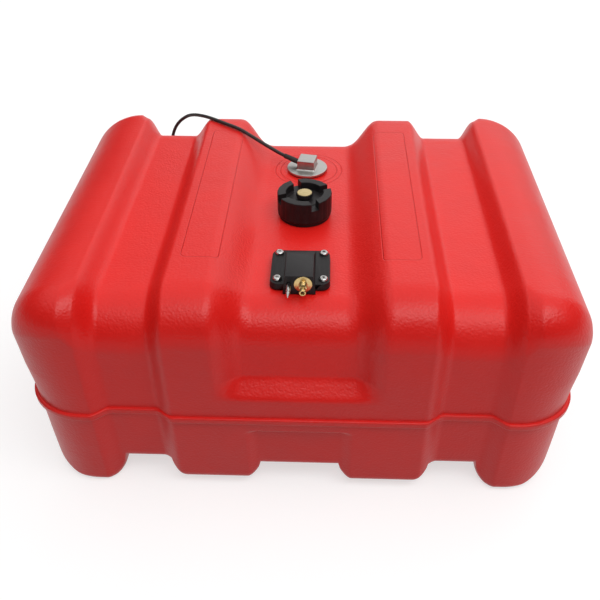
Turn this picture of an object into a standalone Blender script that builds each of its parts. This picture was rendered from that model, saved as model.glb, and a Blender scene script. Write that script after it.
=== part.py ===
"""Portable fuel tank: a ribbed hollow moulding with its screw cap, fuel pickup and level sender.

Metres, +Z up. X runs across the ribs, -Y is the front. The origin is on the ground, under the
tank's middle.
"""
import math

import bmesh
import bpy
from mathutils import Matrix, Vector

# General
SEAT_GAP = 0.0003
CUT_OVERRUN = 0.004
MERGE_DISTANCE = 0.00001
SMOOTH_ANGLE_DEG = 32

# Tank, overall; length and depth are those of the wall at the parting bead
TANK_LENGTH = 0.5950
TANK_DEPTH = 0.4556
TANK_HEIGHT = 0.271
TANK_WALL = 0.0048
END_RADIUS = 0.0635
END_FOOT_RADIUS = 0.0333
END_TOP_RADIUS = 0.0410
TOP_RADIUS = 0.0525
DECK_TOP_RADIUS = 0.0440
BOTTOM_RADIUS = 0.0118
LEAST_RADIUS = 0.006
UPPER_CORNER_SHARE = 0.75
LOWER_CORNER_SHARE = 0.95
CORNER_CHANGE_HEIGHT = 0.080

# Tank walls' lean, inward away from the parting bead; a negative one leans outward
UPPER_DRAFT_DEG = -3.9
LOWER_DRAFT_DEG = 4.8
UPPER_END_DRAFT_DEG = -1.7
LOWER_END_DRAFT_DEG = 2.1

# Tank, places across the length, each counted on from the one before
DECK_WIDTH = 0.0946
DECK_SLOPE = 0.0482
INNER_RIB_WIDTH = 0.0391
GROOVE_INNER_SIDE = 0.0226
GROOVE_WIDTH = 0.0476
GROOVE_OUTER_SIDE = 0.0212
DECK_DROP = 0.0279
GROOVE_DROP = 0.0193
GROOVE_INSET = 0.0126

# Tank, recess in the middle of the front and back
RECESS_INSET = 0.0298
RECESS_LEAD = 0.0110
RECESS_LAG = 0.0046
LEDGE_RISE = 0.0258
LEDGE_HEIGHT = 0.0204

# Tank, parting bead
SEAM_HEIGHT = 0.120
SEAM_TALL = 0.0083
SEAM_PROUD = 0.0037
SEAM_EDGE = 0.0012

# Tank, underside
MIDDLE_CHANNEL_WIDTH = 0.0946
MIDDLE_CHANNEL_SIDE = 0.0100
MIDDLE_CHANNEL_RISE = 0.0310
INNER_FOOT_RISE = 0.0098
STRAP_CHANNEL_RISE = 0.0310
STRAP_CHANNEL_FLARE = 0.0085
STRAP_CHANNEL_INNER_SIDE = 0.0160
STRAP_CHANNEL_OUTER_SIDE = 0.0067
SKIRT_RECESS_INSET = 0.0055
SKIRT_RECESS_DROP = 0.0203
SKIRT_RECESS_EDGE = 0.0074

# Tank, fineness of the outer and of the inner form
SLOPE_STEPS = 4
END_STEPS = 6
ARC_STEPS = 5
INNER_SLOPE_STEPS = 2
INNER_END_STEPS = 4
INNER_ARC_STEPS = 4
STATION_SPACING = 0.0026

# Filler neck and cap, heights above the deck
CAP_Y = -0.0103
NECK_RADIUS = 0.0250
NECK_BORE_RADIUS = 0.0205
NECK_HEIGHT = 0.0160
CAP_GASKET_THICKNESS = 0.0020
CAP_GASKET_MARGIN = 0.0004
CAP_RADIUS_TOP = 0.0310
CAP_RADIUS_BASE = 0.0322
CAP_THREAD_SPACE = 0.0012
CAP_FOOT_GAP = 0.0008
CAP_TOP_THICKNESS = 0.0032
CAP_HEIGHT = 0.0303
CAP_EDGE = 0.0011
CAP_STEP_RADIUS = 0.0196
CAP_STEP_HEIGHT = 0.0008
CAP_RIM_INNER_RADIUS = 0.0219
CAP_FLUTES = 20
CAP_FLUTE_DEPTH = 0.0004
CAP_NOTCHES = 4
CAP_NOTCH_WIDTH = 0.0094
CAP_NOTCH_ANGLE_DEG = 25

# Vent in the cap
VENT_BOSS_RADIUS = 0.0075
VENT_BOSS_HEIGHT = 0.0024
VENT_SEAL_RADIUS = 0.0066
VENT_SEAL_THICKNESS = 0.0014
VENT_KNOB_RADIUS = 0.0096
VENT_KNOB_HEIGHT = 0.0046
VENT_KNOB_FLOOR = 0.0020
VENT_KNOB_FLUTES = 12
VENT_KNOB_FLUTE_DEPTH = 0.0004
VENT_HEAD_RADIUS = 0.0086
VENT_HEAD_PROUD = 0.0008
VENT_HEAD_EDGE = 0.0005
VENT_SHANK_RADIUS = 0.0030
VENT_SHANK_BELOW = 0.0008

# Fuel pickup housing, heights above the deck
PICKUP_SETBACK = 0.0968
PICKUP_PLATE_WIDTH = 0.0620
PICKUP_PLATE_DEPTH = 0.0615
PICKUP_PLATE_THICKNESS = 0.0070
PICKUP_PLATE_CORNER = 0.0075
PICKUP_PLATE_EDGE = 0.0008
PICKUP_GASKET_THICKNESS = 0.0012
PICKUP_GASKET_MARGIN = 0.0010
PICKUP_SCREW_PITCH = 0.0480
PICKUP_BLOCK_WIDTH = 0.0322
PICKUP_BLOCK_TAPER = 0.0012
PICKUP_BLOCK_HEIGHT = 0.0230
PICKUP_BLOCK_REACH = 0.0390
PICKUP_BLOCK_TOP_LENGTH = 0.0400
PICKUP_BLOCK_EDGE = 0.0012
PICKUP_BLOCK_LIFT = 0.0012
PICKUP_HOLE_RADIUS = 0.0095
SPIGOT_RADIUS = 0.0040
SPIGOT_BORE_RADIUS = 0.0026
SPIGOT_COLLAR_RADIUS = 0.0088
SPIGOT_LENGTH = 0.0220

# Screws and their threaded inserts
SCREW_RADIUS = 0.0025
SCREW_LENGTH = 0.0160
SCREW_HEAD_RADIUS = 0.0048
SCREW_HEAD_HEIGHT = 0.0030
SCREW_SOCKET_RADIUS = 0.0017
SCREW_SOCKET_RIM_RADIUS = 0.0022
SCREW_SOCKET_DEPTH = 0.0016
INSERT_RADIUS = 0.0042
INSERT_LENGTH = 0.0105
INSERT_BOSS_WALL = 0.0030

# Fuel nipple, along the line out of the housing's front face
NIPPLE_X = 0.0034
NIPPLE_HEIGHT = 0.0133
NIPPLE_FLANGE_RADIUS = 0.0090
NIPPLE_FLANGE_THICKNESS = 0.0016
NIPPLE_FLANGE_PROUD = 0.0006
NIPPLE_BODY_RADIUS = 0.0052
NIPPLE_BODY_LENGTH = 0.0160
NIPPLE_ROOT_RADIUS = 0.0040
NIPPLE_ROOT_LENGTH = 0.0075
NIPPLE_WAIST_RADIUS = 0.0028
NIPPLE_WAIST_LENGTH = 0.0040
NIPPLE_TIP_RADIUS = 0.0037
NIPPLE_TIP_LENGTH = 0.0035
NIPPLE_EDGE = 0.0006
NIPPLE_BORE_RADIUS = 0.0019
NIPPLE_CHAMBER_RADIUS = 0.0029
NIPPLE_CHAMBER_START = 0.0050
NIPPLE_CROSS_HOLE_RADIUS = 0.0008
NIPPLE_SEAL_THICKNESS = 0.0011
NIPPLE_SEAL_INSET = 0.0060
PASSAGE_RADIUS = 0.0020

# Valve in the nipple
VALVE_TRAVEL = 0.0025
POPPET_NOSE_RADIUS = 0.0014
POPPET_NOSE_INSET = 0.0028
POPPET_HEAD_RADIUS = 0.0025
POPPET_HEAD_LENGTH = 0.0016
SPRING_RADIUS = 0.0021
SPRING_WIRE_RADIUS = 0.0003
SPRING_TURNS = 7
SPRING_POINTS_PER_TURN = 8

# Locating pin beside the nipple
PIN_X = -0.0114
PIN_RADIUS = 0.0023
PIN_LENGTH = 0.0230
PIN_TIP_LENGTH = 0.0060
PIN_TIP_RADIUS = 0.0004
PIN_GROOVE_RADIUS = 0.0017
PIN_GROOVE_WIDTH = 0.0016
PIN_GROOVE_INSET = 0.0100
PIN_SOCKET_DEPTH = 0.0080

# Pickup tube and strainer
TUBE_RADIUS = 0.0056
TUBE_BORE_RADIUS = 0.0043
TUBE_OVERLAP = 0.0140
STRAINER_RADIUS = 0.0080
STRAINER_WALL = 0.0012
STRAINER_LENGTH = 0.0260
STRAINER_COLLAR_LENGTH = 0.0080
STRAINER_FLOOR_GAP = 0.0050
STRAINER_SLOTS = 6
STRAINER_SLOT_WIDTH = 0.0030
STRAINER_SLOT_HEIGHT = 0.0110

# Level sender, heights above the deck
SENDER_Y = 0.1016
SENDER_GASKET_THICKNESS = 0.0010
SENDER_GASKET_MARGIN = 0.0012
SENDER_DISC_RADIUS = 0.0257
SENDER_DISC_THICKNESS = 0.0030
SENDER_DISC_EDGE = 0.0005
SENDER_HEAD_WIDTH = 0.0220
SENDER_HEAD_TOP = 0.0170
SENDER_HEAD_EDGE = 0.0012
SENDER_HEAD_TURN_DEG = -10
SENDER_SHANK_RADIUS = 0.0190
SENDER_SHANK_LENGTH = 0.0110
SENDER_INSERT_RADIUS = 0.0225
SENDER_INSERT_LENGTH = 0.0120
SENDER_BOSS_WALL = 0.0045
SENDER_BOSS_LEDGE = 0.0022
SENDER_BOSS_FLOOR = 0.0030
STEM_RADIUS = 0.0050
STEM_SOCKET_DEPTH = 0.0080
STEM_FLOOR_GAP = 0.0080
FLOAT_RADIUS = 0.0105
FLOAT_LENGTH = 0.0240
FLOAT_RUNNING_GAP = 0.0006
FLOAT_EDGE = 0.0020
STOP_RADIUS = 0.0080
STOP_THICKNESS = 0.0025
STOP_INSET = 0.0020

# Boot and cable. Over the deck the route's points count from the deck's height; down the wall
# they have their distance from the back and their share of the tank's height; on the floor,
# their distance from the back and their height
CABLE_RADIUS = 0.0023
BOOT_RADIUS = 0.0034
BOOT_TIP_RADIUS = 0.0030
BOOT_SOCKET_DEPTH = 0.0040
BOOT_HEIGHT = 0.0100
CABLE_OVER_DECK = [
    (-0.0300, 0.1130, 0.0144), (-0.0450, 0.1245, 0.0170), (-0.0607, 0.1362, 0.0208),
    (-0.0765, 0.1470, 0.0256), (-0.0928, 0.1570, 0.0305), (-0.1130, 0.1728, 0.0307),
    (-0.1349, 0.1908, 0.0301), (-0.1505, 0.2065, 0.0265), (-0.1645, 0.2220, 0.0205),
    (-0.1757, 0.2320, 0.0135), (-0.1868, 0.2370, 0.0040),
]
CABLE_DOWN_WALL = [
    (-0.1955, 0.0112, 0.867), (-0.2010, 0.0117, 0.804), (-0.2030, 0.0122, 0.683),
    (-0.2015, 0.0127, 0.517), (-0.1985, 0.0142, 0.332), (-0.1955, 0.0172, 0.185),
]
CABLE_ON_FLOOR = [(-0.1915, 0.0242, 0.0210), (-0.1810, 0.0372, 0.0055), (-0.1640, 0.0527, 0.0031)]
CABLE_POINTS = 66

# Wound-up rest of the cable
COIL_X = -0.105
COIL_OUT = 0.0542
COIL_LAYER_TURNS = 2.75
COIL_INNER_RADIUS = 0.0195
COIL_PITCH = 0.0053
COIL_LAYER_PITCH = 0.0053
COIL_POINTS_PER_TURN = 24
COIL_START_DEG = 127
COIL_TAIL_SHARE = 0.25
COIL_TAIL_SPREAD = 0.0090
TIE_THICKNESS = 0.0009
TIE_WIDTH = 0.0060
TIE_GAP = 0.0004
TIE_TURN_DEG = 265
TIE_CORNER_STEPS = 4

# Plug on the cable's end
PLUG_LENGTH = 0.0240
PLUG_WIDTH = 0.0120
PLUG_HEIGHT = 0.0100
PLUG_EDGE = 0.0008
PLUG_MOUTH_DEPTH = 0.0100
PLUG_WALL = 0.0014
PLUG_CONTACT_RADIUS = 0.0011
PLUG_CONTACT_PITCH = 0.0044
PLUG_CONTACT_ROOT = 0.0030
PLUG_CONTACT_REACH = 0.0080
PLUG_BOOT_LENGTH = 0.0090
PLUG_BOOT_RADIUS = 0.0038
PLUG_BOOT_END_RADIUS = 0.0029
PLUG_BOOT_SEAT = 0.0020

# Worked out from the sizes above
DECK_TOP = TANK_HEIGHT - DECK_DROP
DECK_EDGE = DECK_WIDTH / 2
RIB_START = DECK_EDGE + DECK_SLOPE
RIB_END = RIB_START + INNER_RIB_WIDTH
GROOVE_START = RIB_END + GROOVE_INNER_SIDE
GROOVE_END = GROOVE_START + GROOVE_WIDTH
OUTER_RIB_START = GROOVE_END + GROOVE_OUTER_SIDE
CHANNEL_EDGE = MIDDLE_CHANNEL_WIDTH / 2
INNER_FOOT_START = CHANNEL_EDGE + MIDDLE_CHANNEL_SIDE
STRAP_START = GROOVE_START - STRAP_CHANNEL_FLARE
INNER_FOOT_END = STRAP_START - STRAP_CHANNEL_INNER_SIDE
OUTER_FOOT_START = GROOVE_END + STRAP_CHANNEL_OUTER_SIDE

TOP_DROPS = [
    (0.0, DECK_DROP), (DECK_EDGE, DECK_DROP), (RIB_START, 0.0), (RIB_END, 0.0),
    (GROOVE_START, GROOVE_DROP), (GROOVE_END, GROOVE_DROP), (OUTER_RIB_START, 0.0),
]
END_START = TANK_LENGTH / 2 - END_RADIUS
TOP_RADII = [
    (0.0, DECK_TOP_RADIUS), (DECK_EDGE, DECK_TOP_RADIUS), (RIB_START, TOP_RADIUS),
    (OUTER_RIB_START, TOP_RADIUS), (END_START, END_TOP_RADIUS),
]
UPPER_INSETS = [
    (0.0, RECESS_INSET), (DECK_EDGE + RECESS_LEAD, RECESS_INSET), (RIB_START - RECESS_LAG, 0.0),
    (RIB_END, 0.0), (GROOVE_START, GROOVE_INSET), (GROOVE_END, GROOVE_INSET), (OUTER_RIB_START, 0.0),
]
LOWER_INSETS = [
    (0.0, 0.0), (RIB_END, 0.0), (GROOVE_START, GROOVE_INSET), (GROOVE_END, GROOVE_INSET),
    (OUTER_RIB_START, 0.0),
]
SKIRT_INSETS = [
    (0.0, SKIRT_RECESS_INSET), (CHANNEL_EDGE, SKIRT_RECESS_INSET), (INNER_FOOT_START, 0.0),
]
BOTTOM_RISES = [
    (0.0, MIDDLE_CHANNEL_RISE), (CHANNEL_EDGE, MIDDLE_CHANNEL_RISE), (INNER_FOOT_START, INNER_FOOT_RISE),
    (INNER_FOOT_END, INNER_FOOT_RISE), (STRAP_START, STRAP_CHANNEL_RISE), (GROOVE_END, STRAP_CHANNEL_RISE),
    (OUTER_FOOT_START, 0.0),
]

NECK_TOP = DECK_TOP + NECK_HEIGHT
CAP_CEILING = NECK_TOP + CAP_GASKET_THICKNESS + 2 * SEAT_GAP
CAP_FLOOR = CAP_CEILING + CAP_TOP_THICKNESS
CAP_TOP = DECK_TOP + CAP_HEIGHT
CAP_BORE_RADIUS = NECK_RADIUS + CAP_THREAD_SPACE
VENT_HOLE_RADIUS = VENT_SHANK_RADIUS + SEAT_GAP
VENT_BOSS_TOP = CAP_FLOOR + CAP_STEP_HEIGHT + VENT_BOSS_HEIGHT
VENT_SEAL_BASE = VENT_BOSS_TOP + SEAT_GAP
VENT_KNOB_BASE = VENT_SEAL_BASE + VENT_SEAL_THICKNESS + SEAT_GAP
VENT_KNOB_TOP = VENT_KNOB_BASE + VENT_KNOB_HEIGHT
VENT_HEAD_BASE = VENT_KNOB_BASE + VENT_KNOB_FLOOR + SEAT_GAP

PICKUP_Y = PICKUP_SETBACK - TANK_DEPTH / 2
PICKUP_GASKET_BASE = DECK_TOP + SEAT_GAP
PICKUP_BASE = PICKUP_GASKET_BASE + PICKUP_GASKET_THICKNESS + SEAT_GAP
PICKUP_PLATE_TOP = PICKUP_BASE + PICKUP_PLATE_THICKNESS
PICKUP_TOP = DECK_TOP + PICKUP_BLOCK_HEIGHT
PICKUP_FRONT = PICKUP_Y - PICKUP_BLOCK_REACH
PICKUP_SCREW_PLACES = [
    (side * PICKUP_SCREW_PITCH / 2, PICKUP_Y + row * PICKUP_SCREW_PITCH / 2)
    for row in (1, -1) for side in (-1, 1)
]
NIPPLE_Z = DECK_TOP + NIPPLE_HEIGHT
NIPPLE_TIP_END = NIPPLE_FLANGE_PROUD + NIPPLE_ROOT_LENGTH + NIPPLE_WAIST_LENGTH + NIPPLE_TIP_LENGTH
POPPET_HEAD_START = NIPPLE_CHAMBER_START - SEAT_GAP
POPPET_HEAD_END = POPPET_HEAD_START - POPPET_HEAD_LENGTH
SPRING_START = POPPET_HEAD_END - SEAT_GAP
SPRING_END = -NIPPLE_BODY_LENGTH
SPIGOT_END = PICKUP_BASE - SPIGOT_LENGTH
TUBE_TOP = SPIGOT_END + TUBE_OVERLAP
TANK_FLOOR = MIDDLE_CHANNEL_RISE + TANK_WALL
STRAINER_BASE = TANK_FLOOR + STRAINER_FLOOR_GAP
STRAINER_TOP = STRAINER_BASE + STRAINER_LENGTH
TUBE_END = STRAINER_TOP - STRAINER_COLLAR_LENGTH

SENDER_GASKET_BASE = DECK_TOP + SEAT_GAP
SENDER_DISC_BASE = SENDER_GASKET_BASE + SENDER_GASKET_THICKNESS + SEAT_GAP
SENDER_DISC_TOP = SENDER_DISC_BASE + SENDER_DISC_THICKNESS
SENDER_TOP = DECK_TOP + SENDER_HEAD_TOP
SENDER_SHANK_END = SENDER_DISC_BASE - SENDER_SHANK_LENGTH
SENDER_BOSS_DEPTH = SENDER_INSERT_LENGTH + SENDER_BOSS_FLOOR
STEM_TOP = SENDER_SHANK_END + STEM_SOCKET_DEPTH - SEAT_GAP
STEM_END = TANK_FLOOR + STEM_FLOOR_GAP
STOP_BASE = STEM_END + STOP_INSET
FLOAT_BASE = STOP_BASE + STOP_THICKNESS + SEAT_GAP

CABLE_ROUTE = (
    [(x, y, DECK_TOP + rise) for x, y, rise in CABLE_OVER_DECK]
    + [(x, TANK_DEPTH / 2 + out, TANK_HEIGHT * share) for x, out, share in CABLE_DOWN_WALL]
    + [(x, TANK_DEPTH / 2 + out, z) for x, out, z in CABLE_ON_FLOOR]
)
COIL_Y = TANK_DEPTH / 2 + COIL_OUT
COIL_HEIGHT = TIE_THICKNESS + TIE_GAP + CABLE_RADIUS + SEAT_GAP
PLUG_AXIS_HEIGHT = PLUG_HEIGHT / 2 + SEAT_GAP


# Materials

def make_material(name, color, roughness, metallic=0.0):
    material = bpy.data.materials.new(name)
    material.use_nodes = True
    shader = material.node_tree.nodes["Principled BSDF"]
    shader.inputs["Base Color"].default_value = (*color, 1.0)
    shader.inputs["Roughness"].default_value = roughness
    shader.inputs["Metallic"].default_value = metallic
    material.diffuse_color = (*color, 1.0)
    return material


# Building blocks

def new_object(name, mesh, material=None):
    item = bpy.data.objects.new(name, mesh)
    bpy.context.scene.collection.objects.link(item)
    if material:
        mesh.materials.append(material)
    mesh.shade_smooth()
    mesh.set_sharp_from_angle(angle=math.radians(SMOOTH_ANGLE_DEG))
    return item


def finish_mesh(name, work):
    bmesh.ops.remove_doubles(work, verts=work.verts, dist=MERGE_DISTANCE)
    bmesh.ops.recalc_face_normals(work, faces=work.faces)
    mesh = bpy.data.meshes.new(name)
    work.to_mesh(mesh)
    work.free()
    return mesh


def turned_mesh(name, profile, segments, closed=True):
    """Turns a profile of (radius, height) points about Z; an open profile starts and ends on Z."""
    work = bmesh.new()
    points = [work.verts.new((radius, 0.0, height)) for radius, height in profile]
    edges = [work.edges.new(pair) for pair in zip(points, points[1:])]
    if closed:
        edges.append(work.edges.new((points[-1], points[0])))
    bmesh.ops.spin(work, geom=points + edges, cent=(0.0, 0.0, 0.0), axis=(0.0, 0.0, 1.0),
                   angle=math.tau, steps=segments, use_merge=True)
    return finish_mesh(name, work)


def prism_mesh(name, outline, length):
    """A flat outline of (x, y) points, pushed up along Z by a length."""
    work = bmesh.new()
    face = work.faces.new([work.verts.new((x, y, 0.0)) for x, y in outline])
    raised = bmesh.ops.extrude_face_region(work, geom=[face])
    moved = [item for item in raised["geom"] if isinstance(item, bmesh.types.BMVert)]
    bmesh.ops.translate(work, verts=moved, vec=(0.0, 0.0, length))
    return finish_mesh(name, work)


def box_mesh(name, low, high):
    work = bmesh.new()
    bmesh.ops.create_cube(work, size=1.0)
    for vert in work.verts:
        vert.co = Vector(l + (h - l) * (c + 0.5) for l, h, c in zip(low, high, vert.co))
    return finish_mesh(name, work)


def rounded_outline(width, depth, radius, steps):
    points = []
    for corner in range(4):
        middle = math.radians(90 * corner + 45)
        corner_x = math.copysign(width / 2 - radius, math.cos(middle))
        corner_y = math.copysign(depth / 2 - radius, math.sin(middle))
        for step in range(steps + 1):
            angle = math.radians(90 * corner + 90 * step / steps)
            points.append((corner_x + radius * math.cos(angle), corner_y + radius * math.sin(angle)))
    return points


def joined_mesh(name, meshes):
    """Several closed bodies in one mesh, for a cutter."""
    work = bmesh.new()
    for mesh in meshes:
        work.from_mesh(mesh)
        bpy.data.meshes.remove(mesh)
    mesh = bpy.data.meshes.new(name)
    work.to_mesh(mesh)
    work.free()
    return mesh


def place_mesh(mesh, matrix):
    mesh.transform(matrix)
    return mesh


def cylinder_mesh(name, radius, low, high, segments, place=(0.0, 0.0)):
    mesh = turned_mesh(name, [(0.0, low), (radius, low), (radius, high), (0.0, high)], segments, closed=False)
    return place_mesh(mesh, Matrix.Translation((place[0], place[1], 0.0)))


def boolean(target, name, mesh, operation="DIFFERENCE"):
    """A hidden helper body that is cut from its target, or joined to it."""
    helper = new_object(name, mesh)
    helper.hide_render = True
    helper.display_type = "WIRE"
    helper.parent = target.parent
    modifier = target.modifiers.new(name, "BOOLEAN")
    modifier.operation = operation
    modifier.solver = "EXACT"
    modifier.object = helper
    return helper


def bevel(target, width, segments=2, angle_deg=40):
    modifier = target.modifiers.new("edges", "BEVEL")
    modifier.width = width
    modifier.segments = segments
    modifier.limit_method = "ANGLE"
    modifier.angle_limit = math.radians(angle_deg)
    modifier.use_clamp_overlap = True
    return modifier


def toward(direction, place):
    """Matrix that turns +Z to a direction and then moves to a place."""
    turn = Vector(direction).normalized().to_track_quat("Z", "Y").to_matrix().to_4x4()
    return Matrix.Translation(place) @ turn


def ripple(mesh, low_radius, count, depth):
    """Draws shallow flutes into the outer wall of a turned mesh."""
    for vert in mesh.vertices:
        radius = math.hypot(vert.co.x, vert.co.y)
        if radius < low_radius:
            continue
        wave = 0.5 - 0.5 * math.cos(count * math.atan2(vert.co.y, vert.co.x))
        scale = 1.0 - depth * wave / radius
        vert.co.x *= scale
        vert.co.y *= scale
    return mesh


# Tank moulding

def eased(share):
    share = min(max(share, 0.0), 1.0)
    return share * share * (3.0 - 2.0 * share)


def read_knots(knots, place):
    """Value at a place across the length, eased between (place, value) knots."""
    place = abs(place)
    for (start, low), (end, high) in zip(knots, knots[1:]):
        if place <= end:
            return low + (high - low) * eased((place - start) / (end - start))
    return knots[-1][1]


def tank_stations(slope_steps, end_steps):
    """Places across the length, each with how far the rounded end has drawn its outline in."""
    marks = [0.0]
    for knots in (TOP_DROPS, BOTTOM_RISES):
        for (start, low), (end, high) in zip(knots, knots[1:]):
            steps = slope_steps if low != high else 1
            marks += [start + (end - start) * step / steps for step in range(steps + 1)]
    half = []
    for mark in sorted(marks):
        if (not half or mark - half[-1][0] >= STATION_SPACING) and mark < END_START - STATION_SPACING:
            half.append((mark, 0.0))
    for step in range(end_steps + 1):
        angle = math.radians(90 * step / end_steps)
        half.append((END_START + END_RADIUS * math.sin(angle), END_RADIUS * (1 - math.cos(angle))))
    return [(-place, inset) for place, inset in reversed(half[1:])] + half


def half_section(place, inset, arc_steps, with_bead):
    """Front half of the outline at a station, from the underside to the top.

    Each point is (depth, height, how far the parting bead stands out of the wall there).
    """
    top = TANK_HEIGHT - read_knots(TOP_DROPS, place) - inset
    bottom = read_knots(BOTTOM_RISES, place) + inset * END_FOOT_RADIUS / END_RADIUS
    full_radius = read_knots(TOP_RADII, place)
    top_radius = full_radius - (full_radius - LEAST_RADIUS) * inset / END_RADIUS
    bottom_radius = max(BOTTOM_RADIUS - inset, LEAST_RADIUS)
    upper_inset = read_knots(UPPER_INSETS, place)
    lower_inset = read_knots(LOWER_INSETS, place)
    skirt_inset = read_knots(SKIRT_INSETS, place)
    skirt_top = SEAM_HEIGHT - SKIRT_RECESS_DROP
    upper_slope = math.tan(math.radians(UPPER_DRAFT_DEG))
    lower_slope = math.tan(math.radians(LOWER_DRAFT_DEG))

    def depth(height):
        away = abs(height - SEAM_HEIGHT)
        if height >= SEAM_HEIGHT:
            share = eased((away - LEDGE_RISE) / LEDGE_HEIGHT)
            drawn_in = lower_inset + (upper_inset - lower_inset) * share + away * upper_slope
            corner_share = UPPER_CORNER_SHARE
        else:
            share = eased((skirt_top - height) / SKIRT_RECESS_EDGE)
            drawn_in = lower_inset + skirt_inset * share + away * lower_slope
            corner_share = LOWER_CORNER_SHARE
        corner = inset * (1 - (1 - corner_share) * eased(away / CORNER_CHANGE_HEIGHT))
        return TANK_DEPTH / 2 - drawn_in - corner

    arc_base = bottom + bottom_radius
    points = [(0.0, bottom, 0.0)]
    for step in range(arc_steps - 2):
        angle = math.radians(90 * step / (arc_steps - 3))
        points.append((depth(arc_base) - bottom_radius * (1 - math.sin(angle)),
                       arc_base - bottom_radius * math.cos(angle), 0.0))
    skirt_base = skirt_top - SKIRT_RECESS_EDGE
    wall_rows = [(arc_base + skirt_base) / 2, skirt_base, (skirt_base + skirt_top) / 2, skirt_top]
    points += [(depth(height), height, 0.0) for height in wall_rows]
    bead_base = SEAM_HEIGHT - SEAM_TALL
    if with_bead:
        rounded = SEAM_PROUD - SEAM_EDGE / 2
        bead_rows = [
            (bead_base - SEAM_EDGE, 0.0), (bead_base, rounded), (bead_base + SEAM_EDGE, SEAM_PROUD),
            (SEAM_HEIGHT - SEAM_EDGE, SEAM_PROUD), (SEAM_HEIGHT, rounded), (SEAM_HEIGHT + SEAM_EDGE, 0.0),
        ]
        points += [(depth(height), height, proud) for height, proud in bead_rows]
    else:
        points.append((depth(bead_base), bead_base, 0.0))
    arc_top = top - top_radius
    ledge_base = SEAM_HEIGHT + LEDGE_RISE
    ledge_top = min(ledge_base + LEDGE_HEIGHT, arc_top - LEAST_RADIUS / 2)
    for step in range(arc_steps - 2):
        height = ledge_base + (ledge_top - ledge_base) * step / (arc_steps - 3)
        points.append((depth(height), height, 0.0))
    for step in range(arc_steps + 1):
        angle = math.radians(90 * step / arc_steps)
        points.append((depth(arc_top) - top_radius * (1 - math.cos(angle)),
                       arc_top + top_radius * math.sin(angle), 0.0))
    points.append((0.0, top, 0.0))
    return points


def end_lean(height):
    """How far the end walls lean in at a height, above and below the parting bead."""
    draft = UPPER_END_DRAFT_DEG if height >= SEAM_HEIGHT else LOWER_END_DRAFT_DEG
    return abs(height - SEAM_HEIGHT) * math.tan(math.radians(draft))


def tank_mesh(slope_steps, end_steps, arc_steps, with_bead):
    """The tank's outer form: rings round every station, skinned, with the two ends filled in strips."""
    work = bmesh.new()
    rings = []
    for place, inset in tank_stations(slope_steps, end_steps):
        half = half_section(place, inset, arc_steps, with_bead)
        outward = math.copysign(eased((abs(place) - END_START) / END_RADIUS), place)
        ring = []
        for side, rows in ((-1, half), (1, half[-2:0:-1])):
            for depth, height, proud in rows:
                x = place + outward * (proud - end_lean(height))
                ring.append(work.verts.new((x, side * (depth + proud), height)))
        rings.append(ring)
    count = len(rings[0])
    for ring, following in zip(rings, rings[1:]):
        for i in range(count):
            j = (i + 1) % count
            work.faces.new((ring[i], following[i], following[j], ring[j]))
    # Each end is closed in level strips; the first and last take in the point on the middle line
    half_count = count // 2
    for ring in (rings[0], rings[-1]):
        work.faces.new((ring[0], ring[1], ring[2], ring[-2], ring[-1]))
        work.faces.new((ring[half_count], ring[half_count - 1], ring[half_count - 2],
                        ring[half_count + 2], ring[half_count + 1]))
        for i in range(2, half_count - 2):
            work.faces.new((ring[i], ring[i + 1], ring[-i - 1], ring[-i]))
    bmesh.ops.recalc_face_normals(work, faces=work.faces)
    return work


def sunk_mesh(work, depth, name):
    """Draws a closed form in by a wall's thickness, square to its surface."""
    work.normal_update()
    moves = [vert.normal * depth * vert.calc_shell_factor() for vert in work.verts]
    for vert, move in zip(work.verts, moves):
        vert.co -= move
    return finish_mesh(name, work)


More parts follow.
